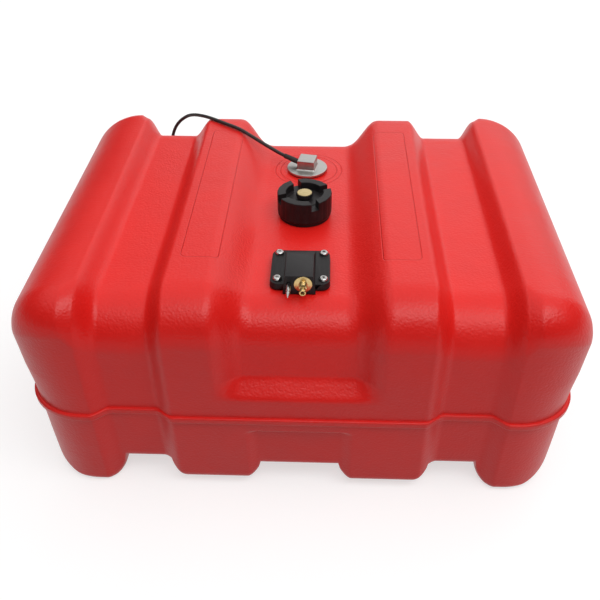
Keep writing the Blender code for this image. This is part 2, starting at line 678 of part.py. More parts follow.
def build_tank(material):
    outer = finish_mesh("tank_shell", tank_mesh(SLOPE_STEPS, END_STEPS, ARC_STEPS, True))
    tank = new_object("tank_shell", outer, material)
    neck_base = DECK_TOP - TANK_WALL / 2
    neck = cylinder_mesh("neck", NECK_RADIUS, neck_base, NECK_TOP, 40, (0.0, CAP_Y))
    boolean(tank, "neck_wall", neck, "UNION")

    inner = tank_mesh(INNER_SLOPE_STEPS, INNER_END_STEPS, INNER_ARC_STEPS, False)
    cavity = boolean(tank, "tank_cavity", sunk_mesh(inner, TANK_WALL, "tank_cavity"))
    boss_top = DECK_TOP - TANK_WALL / 2
    insert_boss_radius = INSERT_RADIUS + INSERT_BOSS_WALL
    insert_boss_end = DECK_TOP - INSERT_LENGTH - INSERT_BOSS_WALL
    bosses = [
        cylinder_mesh("boss", insert_boss_radius, insert_boss_end, boss_top, 16, place)
        for place in PICKUP_SCREW_PLACES
    ]
    sender_boss_radius = SENDER_INSERT_RADIUS + SENDER_BOSS_WALL
    bosses.append(cylinder_mesh("boss", sender_boss_radius, DECK_TOP - SENDER_BOSS_DEPTH, boss_top, 32,
                                (0.0, SENDER_Y)))
    boolean(cavity, "insert_bosses", joined_mesh("insert_bosses", bosses))

    above = NECK_TOP + CUT_OVERRUN
    below = DECK_TOP - TANK_WALL - CUT_OVERRUN
    pocket_radius = INSERT_RADIUS + SEAT_GAP
    holes = [
        cylinder_mesh("hole", NECK_BORE_RADIUS, below, above, 40, (0.0, CAP_Y)),
        cylinder_mesh("hole", PICKUP_HOLE_RADIUS, below, above, 24, (0.0, PICKUP_Y)),
    ]
    for place in PICKUP_SCREW_PLACES:
        holes.append(cylinder_mesh("hole", pocket_radius, DECK_TOP - INSERT_LENGTH - SEAT_GAP, above, 16, place))
    sender_pocket = SENDER_INSERT_RADIUS + SEAT_GAP
    ledge_radius = SENDER_INSERT_RADIUS - SENDER_BOSS_LEDGE
    pocket_floor = DECK_TOP - SENDER_INSERT_LENGTH - 2 * SEAT_GAP
    pocket = [
        (0.0, DECK_TOP - SENDER_BOSS_DEPTH - CUT_OVERRUN), (ledge_radius, DECK_TOP - SENDER_BOSS_DEPTH - CUT_OVERRUN),
        (ledge_radius, pocket_floor), (sender_pocket, pocket_floor), (sender_pocket, above), (0.0, above),
    ]
    holes.append(place_mesh(turned_mesh("hole", pocket, 32, closed=False), Matrix.Translation((0.0, SENDER_Y, 0.0))))
    boolean(tank, "tank_holes", joined_mesh("tank_holes", holes))
    return tank


# Filler cap and its vent

def build_cap(plastic, rubber, brass):
    centre = Matrix.Translation((0.0, CAP_Y, 0.0))
    base = DECK_TOP + CAP_FOOT_GAP
    step_top = CAP_FLOOR + CAP_STEP_HEIGHT
    profile = [
        (CAP_BORE_RADIUS, base), (CAP_RADIUS_BASE - CAP_EDGE, base), (CAP_RADIUS_BASE, base + CAP_EDGE),
        (CAP_RADIUS_TOP, CAP_TOP - CAP_EDGE), (CAP_RADIUS_TOP - CAP_EDGE, CAP_TOP),
        (CAP_RIM_INNER_RADIUS, CAP_TOP), (CAP_RIM_INNER_RADIUS, CAP_FLOOR), (CAP_STEP_RADIUS, CAP_FLOOR),
        (CAP_STEP_RADIUS - CAP_STEP_HEIGHT, step_top), (VENT_BOSS_RADIUS, step_top),
        (VENT_BOSS_RADIUS, VENT_BOSS_TOP), (VENT_HOLE_RADIUS, VENT_BOSS_TOP),
        (VENT_HOLE_RADIUS, CAP_CEILING), (CAP_BORE_RADIUS, CAP_CEILING),
    ]
    mesh = turned_mesh("filler_cap", profile, CAP_FLUTES * 2)
    ripple(mesh, (CAP_RIM_INNER_RADIUS + CAP_RADIUS_TOP) / 2, CAP_FLUTES, CAP_FLUTE_DEPTH)
    cap = new_object("filler_cap", place_mesh(mesh, centre), plastic)
    notch_start = (CAP_RIM_INNER_RADIUS + CAP_STEP_RADIUS) / 2
    notches = []
    for index in range(CAP_NOTCHES):
        notch = box_mesh("notch", (notch_start, -CAP_NOTCH_WIDTH / 2, CAP_FLOOR),
                         (CAP_RADIUS_BASE + CUT_OVERRUN, CAP_NOTCH_WIDTH / 2, CAP_TOP + CUT_OVERRUN))
        turn = math.radians(CAP_NOTCH_ANGLE_DEG + 360 * index / CAP_NOTCHES)
        notches.append(place_mesh(notch, centre @ Matrix.Rotation(turn, 4, "Z")))
    boolean(cap, "cap_notches", joined_mesh("cap_notches", notches))

    gasket_base = NECK_TOP + SEAT_GAP
    gasket_top = gasket_base + CAP_GASKET_THICKNESS
    gasket_inner = NECK_BORE_RADIUS + CAP_GASKET_MARGIN
    gasket_outer = NECK_RADIUS - CAP_GASKET_MARGIN
    gasket = turned_mesh("cap_gasket", [(gasket_inner, gasket_base), (gasket_outer, gasket_base),
                                        (gasket_outer, gasket_top), (gasket_inner, gasket_top)], 32)
    new_object("cap_gasket", place_mesh(gasket, centre), rubber)

    seal_top = VENT_SEAL_BASE + VENT_SEAL_THICKNESS
    seal = turned_mesh("vent_seal", [(VENT_HOLE_RADIUS, VENT_SEAL_BASE), (VENT_SEAL_RADIUS, VENT_SEAL_BASE),
                                     (VENT_SEAL_RADIUS, seal_top), (VENT_HOLE_RADIUS, seal_top)], 24)
    new_object("vent_seal", place_mesh(seal, centre), rubber)

    pocket_radius = VENT_HEAD_RADIUS + SEAT_GAP
    pocket_floor = VENT_KNOB_BASE + VENT_KNOB_FLOOR
    knob = turned_mesh("vent_knob", [
        (VENT_HOLE_RADIUS, VENT_KNOB_BASE), (VENT_KNOB_RADIUS, VENT_KNOB_BASE), (VENT_KNOB_RADIUS, VENT_KNOB_TOP),
        (pocket_radius, VENT_KNOB_TOP), (pocket_radius, pocket_floor), (VENT_HOLE_RADIUS, pocket_floor),
    ], VENT_KNOB_FLUTES * 3)
    ripple(knob, (VENT_KNOB_RADIUS + pocket_radius) / 2, VENT_KNOB_FLUTES, VENT_KNOB_FLUTE_DEPTH)
    new_object("vent_knob", place_mesh(knob, centre), plastic)

    head_top = VENT_KNOB_TOP + VENT_HEAD_PROUD
    shank_end = CAP_CEILING - VENT_SHANK_BELOW
    screw = turned_mesh("vent_screw", [
        (0.0, shank_end), (VENT_SHANK_RADIUS - VENT_HEAD_EDGE, shank_end),
        (VENT_SHANK_RADIUS, shank_end + VENT_HEAD_EDGE), (VENT_SHANK_RADIUS, VENT_HEAD_BASE),
        (VENT_HEAD_RADIUS, VENT_HEAD_BASE), (VENT_HEAD_RADIUS, head_top - VENT_HEAD_EDGE),
        (VENT_HEAD_RADIUS - VENT_HEAD_EDGE, head_top), (0.0, head_top),
    ], 24, closed=False)
    new_object("vent_screw", place_mesh(screw, centre), brass)


# Pickup housing, its gasket, screws and inserts

def build_pickup(plastic, rubber, steel, brass):
    corners = rounded_outline(PICKUP_PLATE_WIDTH, PICKUP_PLATE_DEPTH, PICKUP_PLATE_CORNER, 5)
    plate = place_mesh(prism_mesh("pickup_housing", corners, PICKUP_PLATE_THICKNESS),
                       Matrix.Translation((0.0, PICKUP_Y, PICKUP_BASE)))
    housing = new_object("pickup_housing", plate, plastic)
    bevel(housing, PICKUP_PLATE_EDGE, 1)

    block_base = DECK_TOP + PICKUP_BLOCK_LIFT
    plate_back = PICKUP_Y + PICKUP_PLATE_DEPTH / 2 - PICKUP_PLATE_EDGE
    side = [
        (PICKUP_FRONT, block_base), (PICKUP_Y - PICKUP_PLATE_DEPTH / 2 - SEAT_GAP, block_base),
        (PICKUP_Y - PICKUP_PLATE_DEPTH / 2 - SEAT_GAP, PICKUP_BASE + SEAT_GAP),
        (plate_back, PICKUP_BASE + SEAT_GAP), (plate_back, PICKUP_PLATE_TOP),
        (PICKUP_FRONT + PICKUP_BLOCK_TOP_LENGTH, PICKUP_TOP),
        (PICKUP_FRONT + PICKUP_BLOCK_EDGE, PICKUP_TOP), (PICKUP_FRONT, PICKUP_TOP - PICKUP_BLOCK_EDGE),
    ]
    # The side outline lies in YZ, so the prism is stood up and centred on X
    stand = Matrix.Translation((-PICKUP_BLOCK_WIDTH / 2, 0.0, 0.0)) @ Matrix(
        ((0.0, 0.0, 1.0, 0.0), (1.0, 0.0, 0.0, 0.0), (0.0, 1.0, 0.0, 0.0), (0.0, 0.0, 0.0, 1.0)))
    block = place_mesh(prism_mesh("block", side, PICKUP_BLOCK_WIDTH), stand)
    for vert in block.vertices:
        rise = max(vert.co.z - block_base, 0.0) / (PICKUP_TOP - block_base)
        vert.co.x -= math.copysign(PICKUP_BLOCK_TAPER * rise, vert.co.x)
    boolean(housing, "pickup_block", block, "UNION")
    spigot = joined_mesh("spigot", [
        turned_mesh("spigot", [
            (0.0, SPIGOT_END), (SPIGOT_RADIUS, SPIGOT_END), (SPIGOT_RADIUS, TUBE_TOP + SEAT_GAP),
            (SPIGOT_COLLAR_RADIUS, TUBE_TOP + SEAT_GAP), (SPIGOT_COLLAR_RADIUS, PICKUP_BASE + SEAT_GAP),
            (0.0, PICKUP_BASE + SEAT_GAP)], 24, closed=False)])
    boolean(housing, "pickup_spigot", place_mesh(spigot, Matrix.Translation((0.0, PICKUP_Y, 0.0))), "UNION")

    clearance_radius = SCREW_RADIUS + SEAT_GAP
    holes = [
        cylinder_mesh("hole", clearance_radius, PICKUP_BASE - CUT_OVERRUN, PICKUP_TOP, 16, place)
        for place in PICKUP_SCREW_PLACES
    ]
    boolean(housing, "screw_holes", joined_mesh("screw_holes", holes))
    outward = toward((0.0, -1.0, 0.0), (NIPPLE_X, PICKUP_FRONT, NIPPLE_Z))
    flange_seat = -(NIPPLE_FLANGE_THICKNESS - NIPPLE_FLANGE_PROUD + SEAT_GAP)
    body_end = -NIPPLE_BODY_LENGTH - SEAT_GAP
    bore = [
        (0.0, -PICKUP_BLOCK_REACH), (PASSAGE_RADIUS, -PICKUP_BLOCK_REACH), (PASSAGE_RADIUS, body_end),
        (NIPPLE_BODY_RADIUS + SEAT_GAP, body_end), (NIPPLE_BODY_RADIUS + SEAT_GAP, flange_seat),
        (NIPPLE_FLANGE_RADIUS + SEAT_GAP, flange_seat), (NIPPLE_FLANGE_RADIUS + SEAT_GAP, CUT_OVERRUN),
        (0.0, CUT_OVERRUN),
    ]
    boolean(housing, "nipple_bore", place_mesh(turned_mesh("nipple_bore", bore, 24, closed=False), outward))
    riser = cylinder_mesh("riser", SPIGOT_BORE_RADIUS, SPIGOT_END - CUT_OVERRUN, NIPPLE_Z, 16, (0.0, PICKUP_Y))
    boolean(housing, "riser", riser)
    pin_hole = cylinder_mesh("pin_hole", PIN_RADIUS + SEAT_GAP, -PIN_SOCKET_DEPTH - SEAT_GAP, CUT_OVERRUN, 16)
    boolean(housing, "pin_hole", place_mesh(pin_hole, toward((0.0, -1.0, 0.0), (PIN_X, PICKUP_FRONT, NIPPLE_Z))))

    margin = 2 * PICKUP_GASKET_MARGIN
    sheet = prism_mesh("pickup_gasket", rounded_outline(
        PICKUP_PLATE_WIDTH - margin, PICKUP_PLATE_DEPTH - margin, PICKUP_PLATE_CORNER, 4), PICKUP_GASKET_THICKNESS)
    gasket = new_object("pickup_gasket", place_mesh(
        sheet, Matrix.Translation((0.0, PICKUP_Y, PICKUP_GASKET_BASE))), rubber)
    holes = [
        cylinder_mesh("hole", clearance_radius, DECK_TOP - CUT_OVERRUN, PICKUP_TOP, 16, place)
        for place in PICKUP_SCREW_PLACES
    ]
    holes.append(cylinder_mesh("hole", PICKUP_HOLE_RADIUS, DECK_TOP - CUT_OVERRUN, PICKUP_TOP, 24, (0.0, PICKUP_Y)))
    boolean(gasket, "gasket_holes", joined_mesh("gasket_holes", holes))

    head_base = PICKUP_PLATE_TOP + SEAT_GAP
    head_top = head_base + SCREW_HEAD_HEIGHT
    shank_end = head_base - SCREW_LENGTH
    dome_radius = SCREW_HEAD_RADIUS - SCREW_HEAD_HEIGHT / 3
    screw_profile = [
        (0.0, shank_end), (SCREW_RADIUS, shank_end), (SCREW_RADIUS, head_base), (SCREW_HEAD_RADIUS, head_base),
        (SCREW_HEAD_RADIUS, head_base + SCREW_HEAD_HEIGHT / 3), (dome_radius, head_base + SCREW_HEAD_HEIGHT * 2 / 3),
        (SCREW_SOCKET_RIM_RADIUS, head_top), (SCREW_SOCKET_RADIUS, head_top),
        (SCREW_SOCKET_RADIUS, head_top - SCREW_SOCKET_DEPTH), (0.0, head_top - SCREW_SOCKET_DEPTH),
    ]
    bore_radius = SCREW_RADIUS + SEAT_GAP
    insert_top = DECK_TOP - SEAT_GAP
    insert_base = DECK_TOP - INSERT_LENGTH
    insert_profile = [(bore_radius, insert_base), (INSERT_RADIUS, insert_base),
                      (INSERT_RADIUS, insert_top), (bore_radius, insert_top)]
    for index, place in enumerate(PICKUP_SCREW_PLACES, 1):
        spot = Matrix.Translation((place[0], place[1], 0.0))
        name = f"pickup_screw_{index}"
        new_object(name, place_mesh(turned_mesh(name, screw_profile, 12, closed=False), spot), steel)
        name = f"screw_insert_{index}"
        new_object(name, place_mesh(turned_mesh(name, insert_profile, 16), spot), brass)
    return outward


# Nipple, valve and pin on the housing's front

def build_nipple(outward, brass, steel, rubber):
    flange_front = NIPPLE_FLANGE_PROUD
    flange_back = flange_front - NIPPLE_FLANGE_THICKNESS
    seal_back = -NIPPLE_SEAL_INSET - NIPPLE_SEAL_THICKNESS
    groove_radius = NIPPLE_BODY_RADIUS - NIPPLE_SEAL_THICKNESS
    root_end = flange_front + NIPPLE_ROOT_LENGTH
    waist_end = root_end + NIPPLE_WAIST_LENGTH
    profile = [
        (NIPPLE_CHAMBER_RADIUS, -NIPPLE_BODY_LENGTH), (NIPPLE_BODY_RADIUS, -NIPPLE_BODY_LENGTH),
        (NIPPLE_BODY_RADIUS, seal_back - SEAT_GAP), (groove_radius, seal_back - SEAT_GAP),
        (groove_radius, -NIPPLE_SEAL_INSET + SEAT_GAP), (NIPPLE_BODY_RADIUS, -NIPPLE_SEAL_INSET + SEAT_GAP),
        (NIPPLE_BODY_RADIUS, flange_back), (NIPPLE_FLANGE_RADIUS, flange_back),
        (NIPPLE_FLANGE_RADIUS, flange_front), (NIPPLE_ROOT_RADIUS, flange_front),
        (NIPPLE_ROOT_RADIUS, root_end - NIPPLE_EDGE), (NIPPLE_WAIST_RADIUS, root_end),
        (NIPPLE_WAIST_RADIUS, waist_end), (NIPPLE_TIP_RADIUS, waist_end + NIPPLE_EDGE),
        (NIPPLE_TIP_RADIUS, NIPPLE_TIP_END - NIPPLE_EDGE), (NIPPLE_TIP_RADIUS - NIPPLE_EDGE, NIPPLE_TIP_END),
        (NIPPLE_BORE_RADIUS, NIPPLE_TIP_END), (NIPPLE_BORE_RADIUS, NIPPLE_CHAMBER_START),
        (NIPPLE_CHAMBER_RADIUS, NIPPLE_CHAMBER_START),
    ]
    nipple = new_object("fuel_nipple", place_mesh(turned_mesh("fuel_nipple", profile, 20), outward), brass)
    across = cylinder_mesh("cross_hole", NIPPLE_CROSS_HOLE_RADIUS, 0.0, NIPPLE_TIP_RADIUS, 8)
    spot = Matrix.Translation((NIPPLE_X, PICKUP_FRONT - (root_end + waist_end) / 2, NIPPLE_Z))
    boolean(nipple, "cross_hole", place_mesh(across, spot))

    seal_inner = groove_radius + SEAT_GAP / 2
    seal_outer = NIPPLE_BODY_RADIUS + SEAT_GAP / 2
    seal = turned_mesh("nipple_seal", [(seal_inner, seal_back), (seal_outer, seal_back),
                                       (seal_outer, -NIPPLE_SEAL_INSET), (seal_inner, -NIPPLE_SEAL_INSET)], 24)
    new_object("nipple_seal", place_mesh(seal, outward), rubber)

    nose_end = NIPPLE_TIP_END - POPPET_NOSE_INSET
    poppet = turned_mesh("valve_poppet", [
        (0.0, POPPET_HEAD_END), (POPPET_HEAD_RADIUS, POPPET_HEAD_END), (POPPET_HEAD_RADIUS, POPPET_HEAD_START),
        (POPPET_NOSE_RADIUS, POPPET_HEAD_START), (POPPET_NOSE_RADIUS, nose_end - NIPPLE_EDGE),
        (POPPET_NOSE_RADIUS / 2, nose_end), (0.0, nose_end)], 16, closed=False)
    new_object("valve_poppet", place_mesh(poppet, outward), steel)

    first = SPRING_START - SPRING_WIRE_RADIUS
    last = SPRING_END + SPRING_WIRE_RADIUS
    count = SPRING_TURNS * SPRING_POINTS_PER_TURN
    places = []
    for index in range(count + 1):
        share = index / count
        angle = math.tau * SPRING_TURNS * share
        places.append(outward @ Vector((SPRING_RADIUS * math.cos(angle), SPRING_RADIUS * math.sin(angle),
                                        first + (last - first) * share)))
    tube_object("valve_spring", places, SPRING_WIRE_RADIUS, 0, steel)

    groove_front = PIN_LENGTH - PIN_GROOVE_INSET + PIN_GROOVE_WIDTH / 2
    groove_back = groove_front - PIN_GROOVE_WIDTH
    ease = (PIN_RADIUS - PIN_GROOVE_RADIUS) / 2
    pin = turned_mesh("locating_pin", [
        (0.0, -PIN_SOCKET_DEPTH), (PIN_RADIUS, -PIN_SOCKET_DEPTH), (PIN_RADIUS, groove_back - ease),
        (PIN_GROOVE_RADIUS, groove_back), (PIN_GROOVE_RADIUS, groove_front), (PIN_RADIUS, groove_front + ease),
        (PIN_RADIUS, PIN_LENGTH - PIN_TIP_LENGTH), (PIN_TIP_RADIUS, PIN_LENGTH), (0.0, PIN_LENGTH)],
        16, closed=False)
    new_object("locating_pin", place_mesh(pin, toward((0.0, -1.0, 0.0), (PIN_X, PICKUP_FRONT, NIPPLE_Z))), steel)


# Tube and strainer that hang from the housing

def build_tube(plastic, mesh_material):
    spot = Matrix.Translation((0.0, PICKUP_Y, 0.0))
    tube = turned_mesh("pickup_tube", [(TUBE_BORE_RADIUS, TUBE_END), (TUBE_RADIUS, TUBE_END),
                                       (TUBE_RADIUS, TUBE_TOP), (TUBE_BORE_RADIUS, TUBE_TOP)], 20)
    new_object("pickup_tube", place_mesh(tube, spot), plastic)
    collar_bore = TUBE_RADIUS + SEAT_GAP
    step = TUBE_END - SEAT_GAP
    strainer = turned_mesh("pickup_strainer", [
        (0.0, STRAINER_BASE), (STRAINER_RADIUS, STRAINER_BASE), (STRAINER_RADIUS, STRAINER_TOP),
        (collar_bore, STRAINER_TOP), (collar_bore, step), (TUBE_BORE_RADIUS, step),
        (TUBE_BORE_RADIUS, step - STRAINER_WALL), (STRAINER_RADIUS - STRAINER_WALL, step - 2 * STRAINER_WALL),
        (STRAINER_RADIUS - STRAINER_WALL, STRAINER_BASE + STRAINER_WALL), (0.0, STRAINER_BASE + STRAINER_WALL),
    ], 24, closed=False)
    cup = new_object("pickup_strainer", place_mesh(strainer, spot), mesh_material)
    slot_base = STRAINER_BASE + 2 * STRAINER_WALL
    slots = []
    for index in range(STRAINER_SLOTS):
        slot = box_mesh("slot", (STRAINER_RADIUS / 2, -STRAINER_SLOT_WIDTH / 2, slot_base),
                        (STRAINER_RADIUS + CUT_OVERRUN, STRAINER_SLOT_WIDTH / 2, slot_base + STRAINER_SLOT_HEIGHT))
        slots.append(place_mesh(slot, spot @ Matrix.Rotation(math.tau * index / STRAINER_SLOTS, 4, "Z")))
    boolean(cup, "strainer_slots", joined_mesh("strainer_slots", slots))


# Level sender

def build_sender(zinc, rubber, brass, plastic, foam):
    spot = Matrix.Translation((0.0, SENDER_Y, 0.0))
    shank_radius = SENDER_SHANK_RADIUS
    socket_radius = STEM_RADIUS + SEAT_GAP
    socket_top = SENDER_SHANK_END + STEM_SOCKET_DEPTH
    profile = [
        (0.0, socket_top), (socket_radius, socket_top), (socket_radius, SENDER_SHANK_END),
        (shank_radius, SENDER_SHANK_END), (shank_radius, SENDER_DISC_BASE), (SENDER_DISC_RADIUS, SENDER_DISC_BASE),
        (SENDER_DISC_RADIUS, SENDER_DISC_TOP - SENDER_DISC_EDGE),
        (SENDER_DISC_RADIUS - SENDER_DISC_EDGE, SENDER_DISC_TOP), (0.0, SENDER_DISC_TOP),
    ]
    plug = new_object("sender_plug", place_mesh(turned_mesh("sender_plug", profile, 32, closed=False), spot), zinc)
    half = SENDER_HEAD_WIDTH / 2
    cube = box_mesh("head", (-half, -half, SENDER_DISC_TOP - SEAT_GAP), (half, half, SENDER_TOP))
    turn = Matrix.Rotation(math.radians(SENDER_HEAD_TURN_DEG), 4, "Z")
    head = boolean(plug, "square_head", place_mesh(cube, spot @ turn), "UNION")
    bevel(head, SENDER_HEAD_EDGE)

    # The boot leaves through the head's left face, in line with the cable's first point
    face = spot @ turn @ Vector((-half, 0.0, DECK_TOP + BOOT_HEIGHT))
    way = (Vector(CABLE_ROUTE[0]) - face).normalized()
    socket = cylinder_mesh("boot_socket", BOOT_RADIUS + SEAT_GAP, -BOOT_SOCKET_DEPTH - SEAT_GAP,
                           SENDER_HEAD_WIDTH / 2, 16)
    boolean(plug, "boot_socket", place_mesh(socket, toward(way, face)))
    reach = (Vector(CABLE_ROUTE[0]) - face).length - SEAT_GAP
    boot = turned_mesh("cable_boot", [
        (0.0, -BOOT_SOCKET_DEPTH), (BOOT_RADIUS, -BOOT_SOCKET_DEPTH), (BOOT_RADIUS, reach / 2),
        (BOOT_TIP_RADIUS, reach - SEAT_GAP), (BOOT_TIP_RADIUS - SEAT_GAP, reach), (0.0, reach)], 16, closed=False)
    new_object("cable_boot", place_mesh(boot, toward(way, face)), rubber)

    gasket_top = SENDER_GASKET_BASE + SENDER_GASKET_THICKNESS
    gasket_inner = shank_radius + SENDER_GASKET_MARGIN
    gasket_outer = SENDER_DISC_RADIUS - SENDER_GASKET_MARGIN
    gasket = turned_mesh("sender_gasket", [(gasket_inner, SENDER_GASKET_BASE), (gasket_outer, SENDER_GASKET_BASE),
                                           (gasket_outer, gasket_top), (gasket_inner, gasket_top)], 32)
    new_object("sender_gasket", place_mesh(gasket, spot), rubber)
    insert_bore = shank_radius + SEAT_GAP
    insert_top = DECK_TOP - SEAT_GAP
    insert_base = insert_top - SENDER_INSERT_LENGTH
    insert = turned_mesh("sender_insert", [(insert_bore, insert_base), (SENDER_INSERT_RADIUS, insert_base),
                                           (SENDER_INSERT_RADIUS, insert_top), (insert_bore, insert_top)], 32)
    new_object("sender_insert", place_mesh(insert, spot), brass)

    stem = cylinder_mesh("sender_stem", STEM_RADIUS, STEM_END, STEM_TOP, 20)
    new_object("sender_stem", place_mesh(stem, spot), plastic)
    stop_top = STOP_BASE + STOP_THICKNESS
    stop_bore = STEM_RADIUS + SEAT_GAP
    stop = turned_mesh("float_stop", [(stop_bore, STOP_BASE), (STOP_RADIUS, STOP_BASE),
                                      (STOP_RADIUS, stop_top), (stop_bore, stop_top)], 20)
    new_object("float_stop", place_mesh(stop, spot), plastic)
    float_bore = STEM_RADIUS + FLOAT_RUNNING_GAP
    float_top = FLOAT_BASE + FLOAT_LENGTH
    body = turned_mesh("sender_float", [
        (float_bore, FLOAT_BASE), (FLOAT_RADIUS - FLOAT_EDGE, FLOAT_BASE), (FLOAT_RADIUS, FLOAT_BASE + FLOAT_EDGE),
        (FLOAT_RADIUS, float_top - FLOAT_EDGE), (FLOAT_RADIUS - FLOAT_EDGE, float_top), (float_bore, float_top)], 24)
    new_object("sender_float", place_mesh(body, spot), foam)


# Cable, its wound-up rest, tie and plug

def tube_object(name, places, radius, resolution, material):
    """A tube along points: a poly curve with a round bevel and closed ends."""
    curve = bpy.data.curves.new(name, "CURVE")
    curve.dimensions = "3D"
    curve.bevel_depth = radius
    curve.bevel_resolution = resolution
    curve.use_fill_caps = True
    curve.render_resolution_u = 0
    spline = curve.splines.new("POLY")
    spline.points.add(len(places) - 1)
    for point, place in zip(spline.points, places):
        point.co = (*place, 1.0)
    curve.materials.append(material)
    tube = bpy.data.objects.new(name, curve)
    bpy.context.scene.collection.objects.link(tube)
    return tube


def smooth_route(points, count, first_way, last_way):
    """Evenly spaced points on one smooth curve through the route's own points."""
    points = [Vector(point) for point in points]
    ways = [(points[i + 1] - points[i - 1]) / 2 for i in range(1, len(points) - 1)]
    ways = [first_way.normalized() * (points[1] - points[0]).length] + ways
    ways.append(last_way.normalized() * (points[-1] - points[-2]).length)
    fine = []
    steps = 24
    for i in range(len(points) - 1):
        for step in range(steps):
            t = step / steps
            fine.append(points[i] * (2 * t**3 - 3 * t**2 + 1) + ways[i] * (t**3 - 2 * t**2 + t)
                        + points[i + 1] * (3 * t**2 - 2 * t**3) + ways[i + 1] * (t**3 - t**2))
    fine.append(points[-1])
    walked = [0.0]
    for a, b in zip(fine, fine[1:]):
        walked.append(walked[-1] + (b - a).length)
    route = []
    at = 0
    for index in range(count):
        target = walked[-1] * index / (count - 1)
        while at < len(fine) - 2 and walked[at + 1] < target:
            at += 1
        stretch = walked[at + 1] - walked[at]
        route.append(fine[at].lerp(fine[at + 1], (target - walked[at]) / stretch))
    return route, walked[-1]


def coil_places():
    """Loops that spiral in near the floor, climb a layer where they turn back, spiral out and come down."""
    per_turn = COIL_POINTS_PER_TURN
    spiral = round(COIL_LAYER_TURNS * per_turn)
    climb = per_turn // 2
    tail = round(per_turn * COIL_TAIL_SHARE)
    middle = spiral + climb / 2
    total = 2 * spiral + climb
    places = []
    for index in range(total + tail + 1):
        angle = math.radians(COIL_START_DEG) - math.tau * index / per_turn
        radius = COIL_INNER_RADIUS + COIL_PITCH * abs(index - middle) / per_turn
        height = COIL_HEIGHT + COIL_LAYER_PITCH * eased((index - spiral) / climb)
        if index > total:
            share = eased((index - total) / tail)
            radius += COIL_TAIL_SPREAD * share
            height += (PLUG_AXIS_HEIGHT - height) * share
        places.append(Vector((COIL_X + radius * math.cos(angle), COIL_Y + radius * math.sin(angle), height)))
    return places


def straight_ends(places, length):
    """Adds a straight run of a given length at each end of a tube."""
    first = (places[0] - places[1]).normalized()
    last = (places[-1] - places[-2]).normalized()
    return [places[0] + first * length] + places + [places[-1] + last * length]


def least_self_gap(places, radius, skip):
    least = math.inf
    for i, a in enumerate(places):
        for b in places[i + skip:]:
            least = min(least, (a - b).length)
    return least - 2 * radius


def build_cable(jacket, nylon):
    wound = straight_ends(coil_places(), 2 * CABLE_RADIUS)
    gap = least_self_gap(wound, CABLE_RADIUS, COIL_POINTS_PER_TURN // 2)
    print(f"cable coil: least gap to itself {gap * 1000:.2f} mm")
    tube_object("cable_coil", wound, CABLE_RADIUS, 1, jacket)

    half = SENDER_HEAD_WIDTH / 2
    turn = Matrix.Rotation(math.radians(SENDER_HEAD_TURN_DEG), 4, "Z")
    face = Matrix.Translation((0.0, SENDER_Y, 0.0)) @ turn @ Vector((-half, 0.0, DECK_TOP + BOOT_HEIGHT))
    first_way = Vector(CABLE_ROUTE[0]) - face
    last_way = wound[1] - wound[0]
    join = wound[0] - last_way.normalized() * SEAT_GAP
    route, length = smooth_route(CABLE_ROUTE + [tuple(join)], CABLE_POINTS, first_way, last_way)
    tube_object("sender_cable", route, CABLE_RADIUS, 1, jacket)
    coil_length = sum((b - a).length for a, b in zip(wound, wound[1:]))
    print(f"cable: {length:.3f} m lying free, {coil_length:.3f} m wound up, in all {length + coil_length:.3f} m")

    # The tie goes round the coil's section, under it and over it
    angle = math.radians(TIE_TURN_DEG)
    radial = Vector((math.cos(angle), math.sin(angle), 0.0))
    along = Vector((math.sin(angle), -math.cos(angle), 0.0))
    centre = Vector((COIL_X, COIL_Y, 0.0))
    near = [place - centre for place in wound]
    near = [place.dot(radial) for place in near if place.dot(radial) > 0 and abs(place.dot(along)) < TIE_WIDTH]
    middle_radius = (min(near) + max(near)) / 2
    section_width = max(near) - min(near) + 2 * (CABLE_RADIUS + TIE_GAP)
    section_height = COIL_LAYER_PITCH + 2 * CABLE_RADIUS + 2 * TIE_GAP
    inner = rounded_outline(section_width, section_height, CABLE_RADIUS, TIE_CORNER_STEPS)
    outer = rounded_outline(section_width + 2 * TIE_THICKNESS, section_height + 2 * TIE_THICKNESS,
                            CABLE_RADIUS + TIE_THICKNESS, TIE_CORNER_STEPS)
    middle = centre + radial * middle_radius + Vector((0.0, 0.0, COIL_HEIGHT + COIL_LAYER_PITCH / 2))
    frame = Matrix((
        (radial.x, 0.0, along.x, middle.x - along.x * TIE_WIDTH / 2),
        (radial.y, 0.0, along.y, middle.y - along.y * TIE_WIDTH / 2),
        (0.0, 1.0, 0.0, middle.z), (0.0, 0.0, 0.0, 1.0)))
    work = bmesh.new()
    rows = [[work.verts.new((x, y, z)) for x, y in ring]
            for ring, z in ((inner, 0.0), (outer, 0.0), (outer, TIE_WIDTH), (inner, TIE_WIDTH))]
    count = len(inner)
    for row, following in zip(rows, rows[1:] + rows[:1]):
        for i in range(count):
            work.faces.new((row[i], row[(i + 1) % count], following[(i + 1) % count], following[i]))
    tie = finish_mesh("coil_tie", work)
    new_object("coil_tie", place_mesh(tie, frame), nylon)
    return wound[-1], (wound[-1] - wound[-2]).normalized()


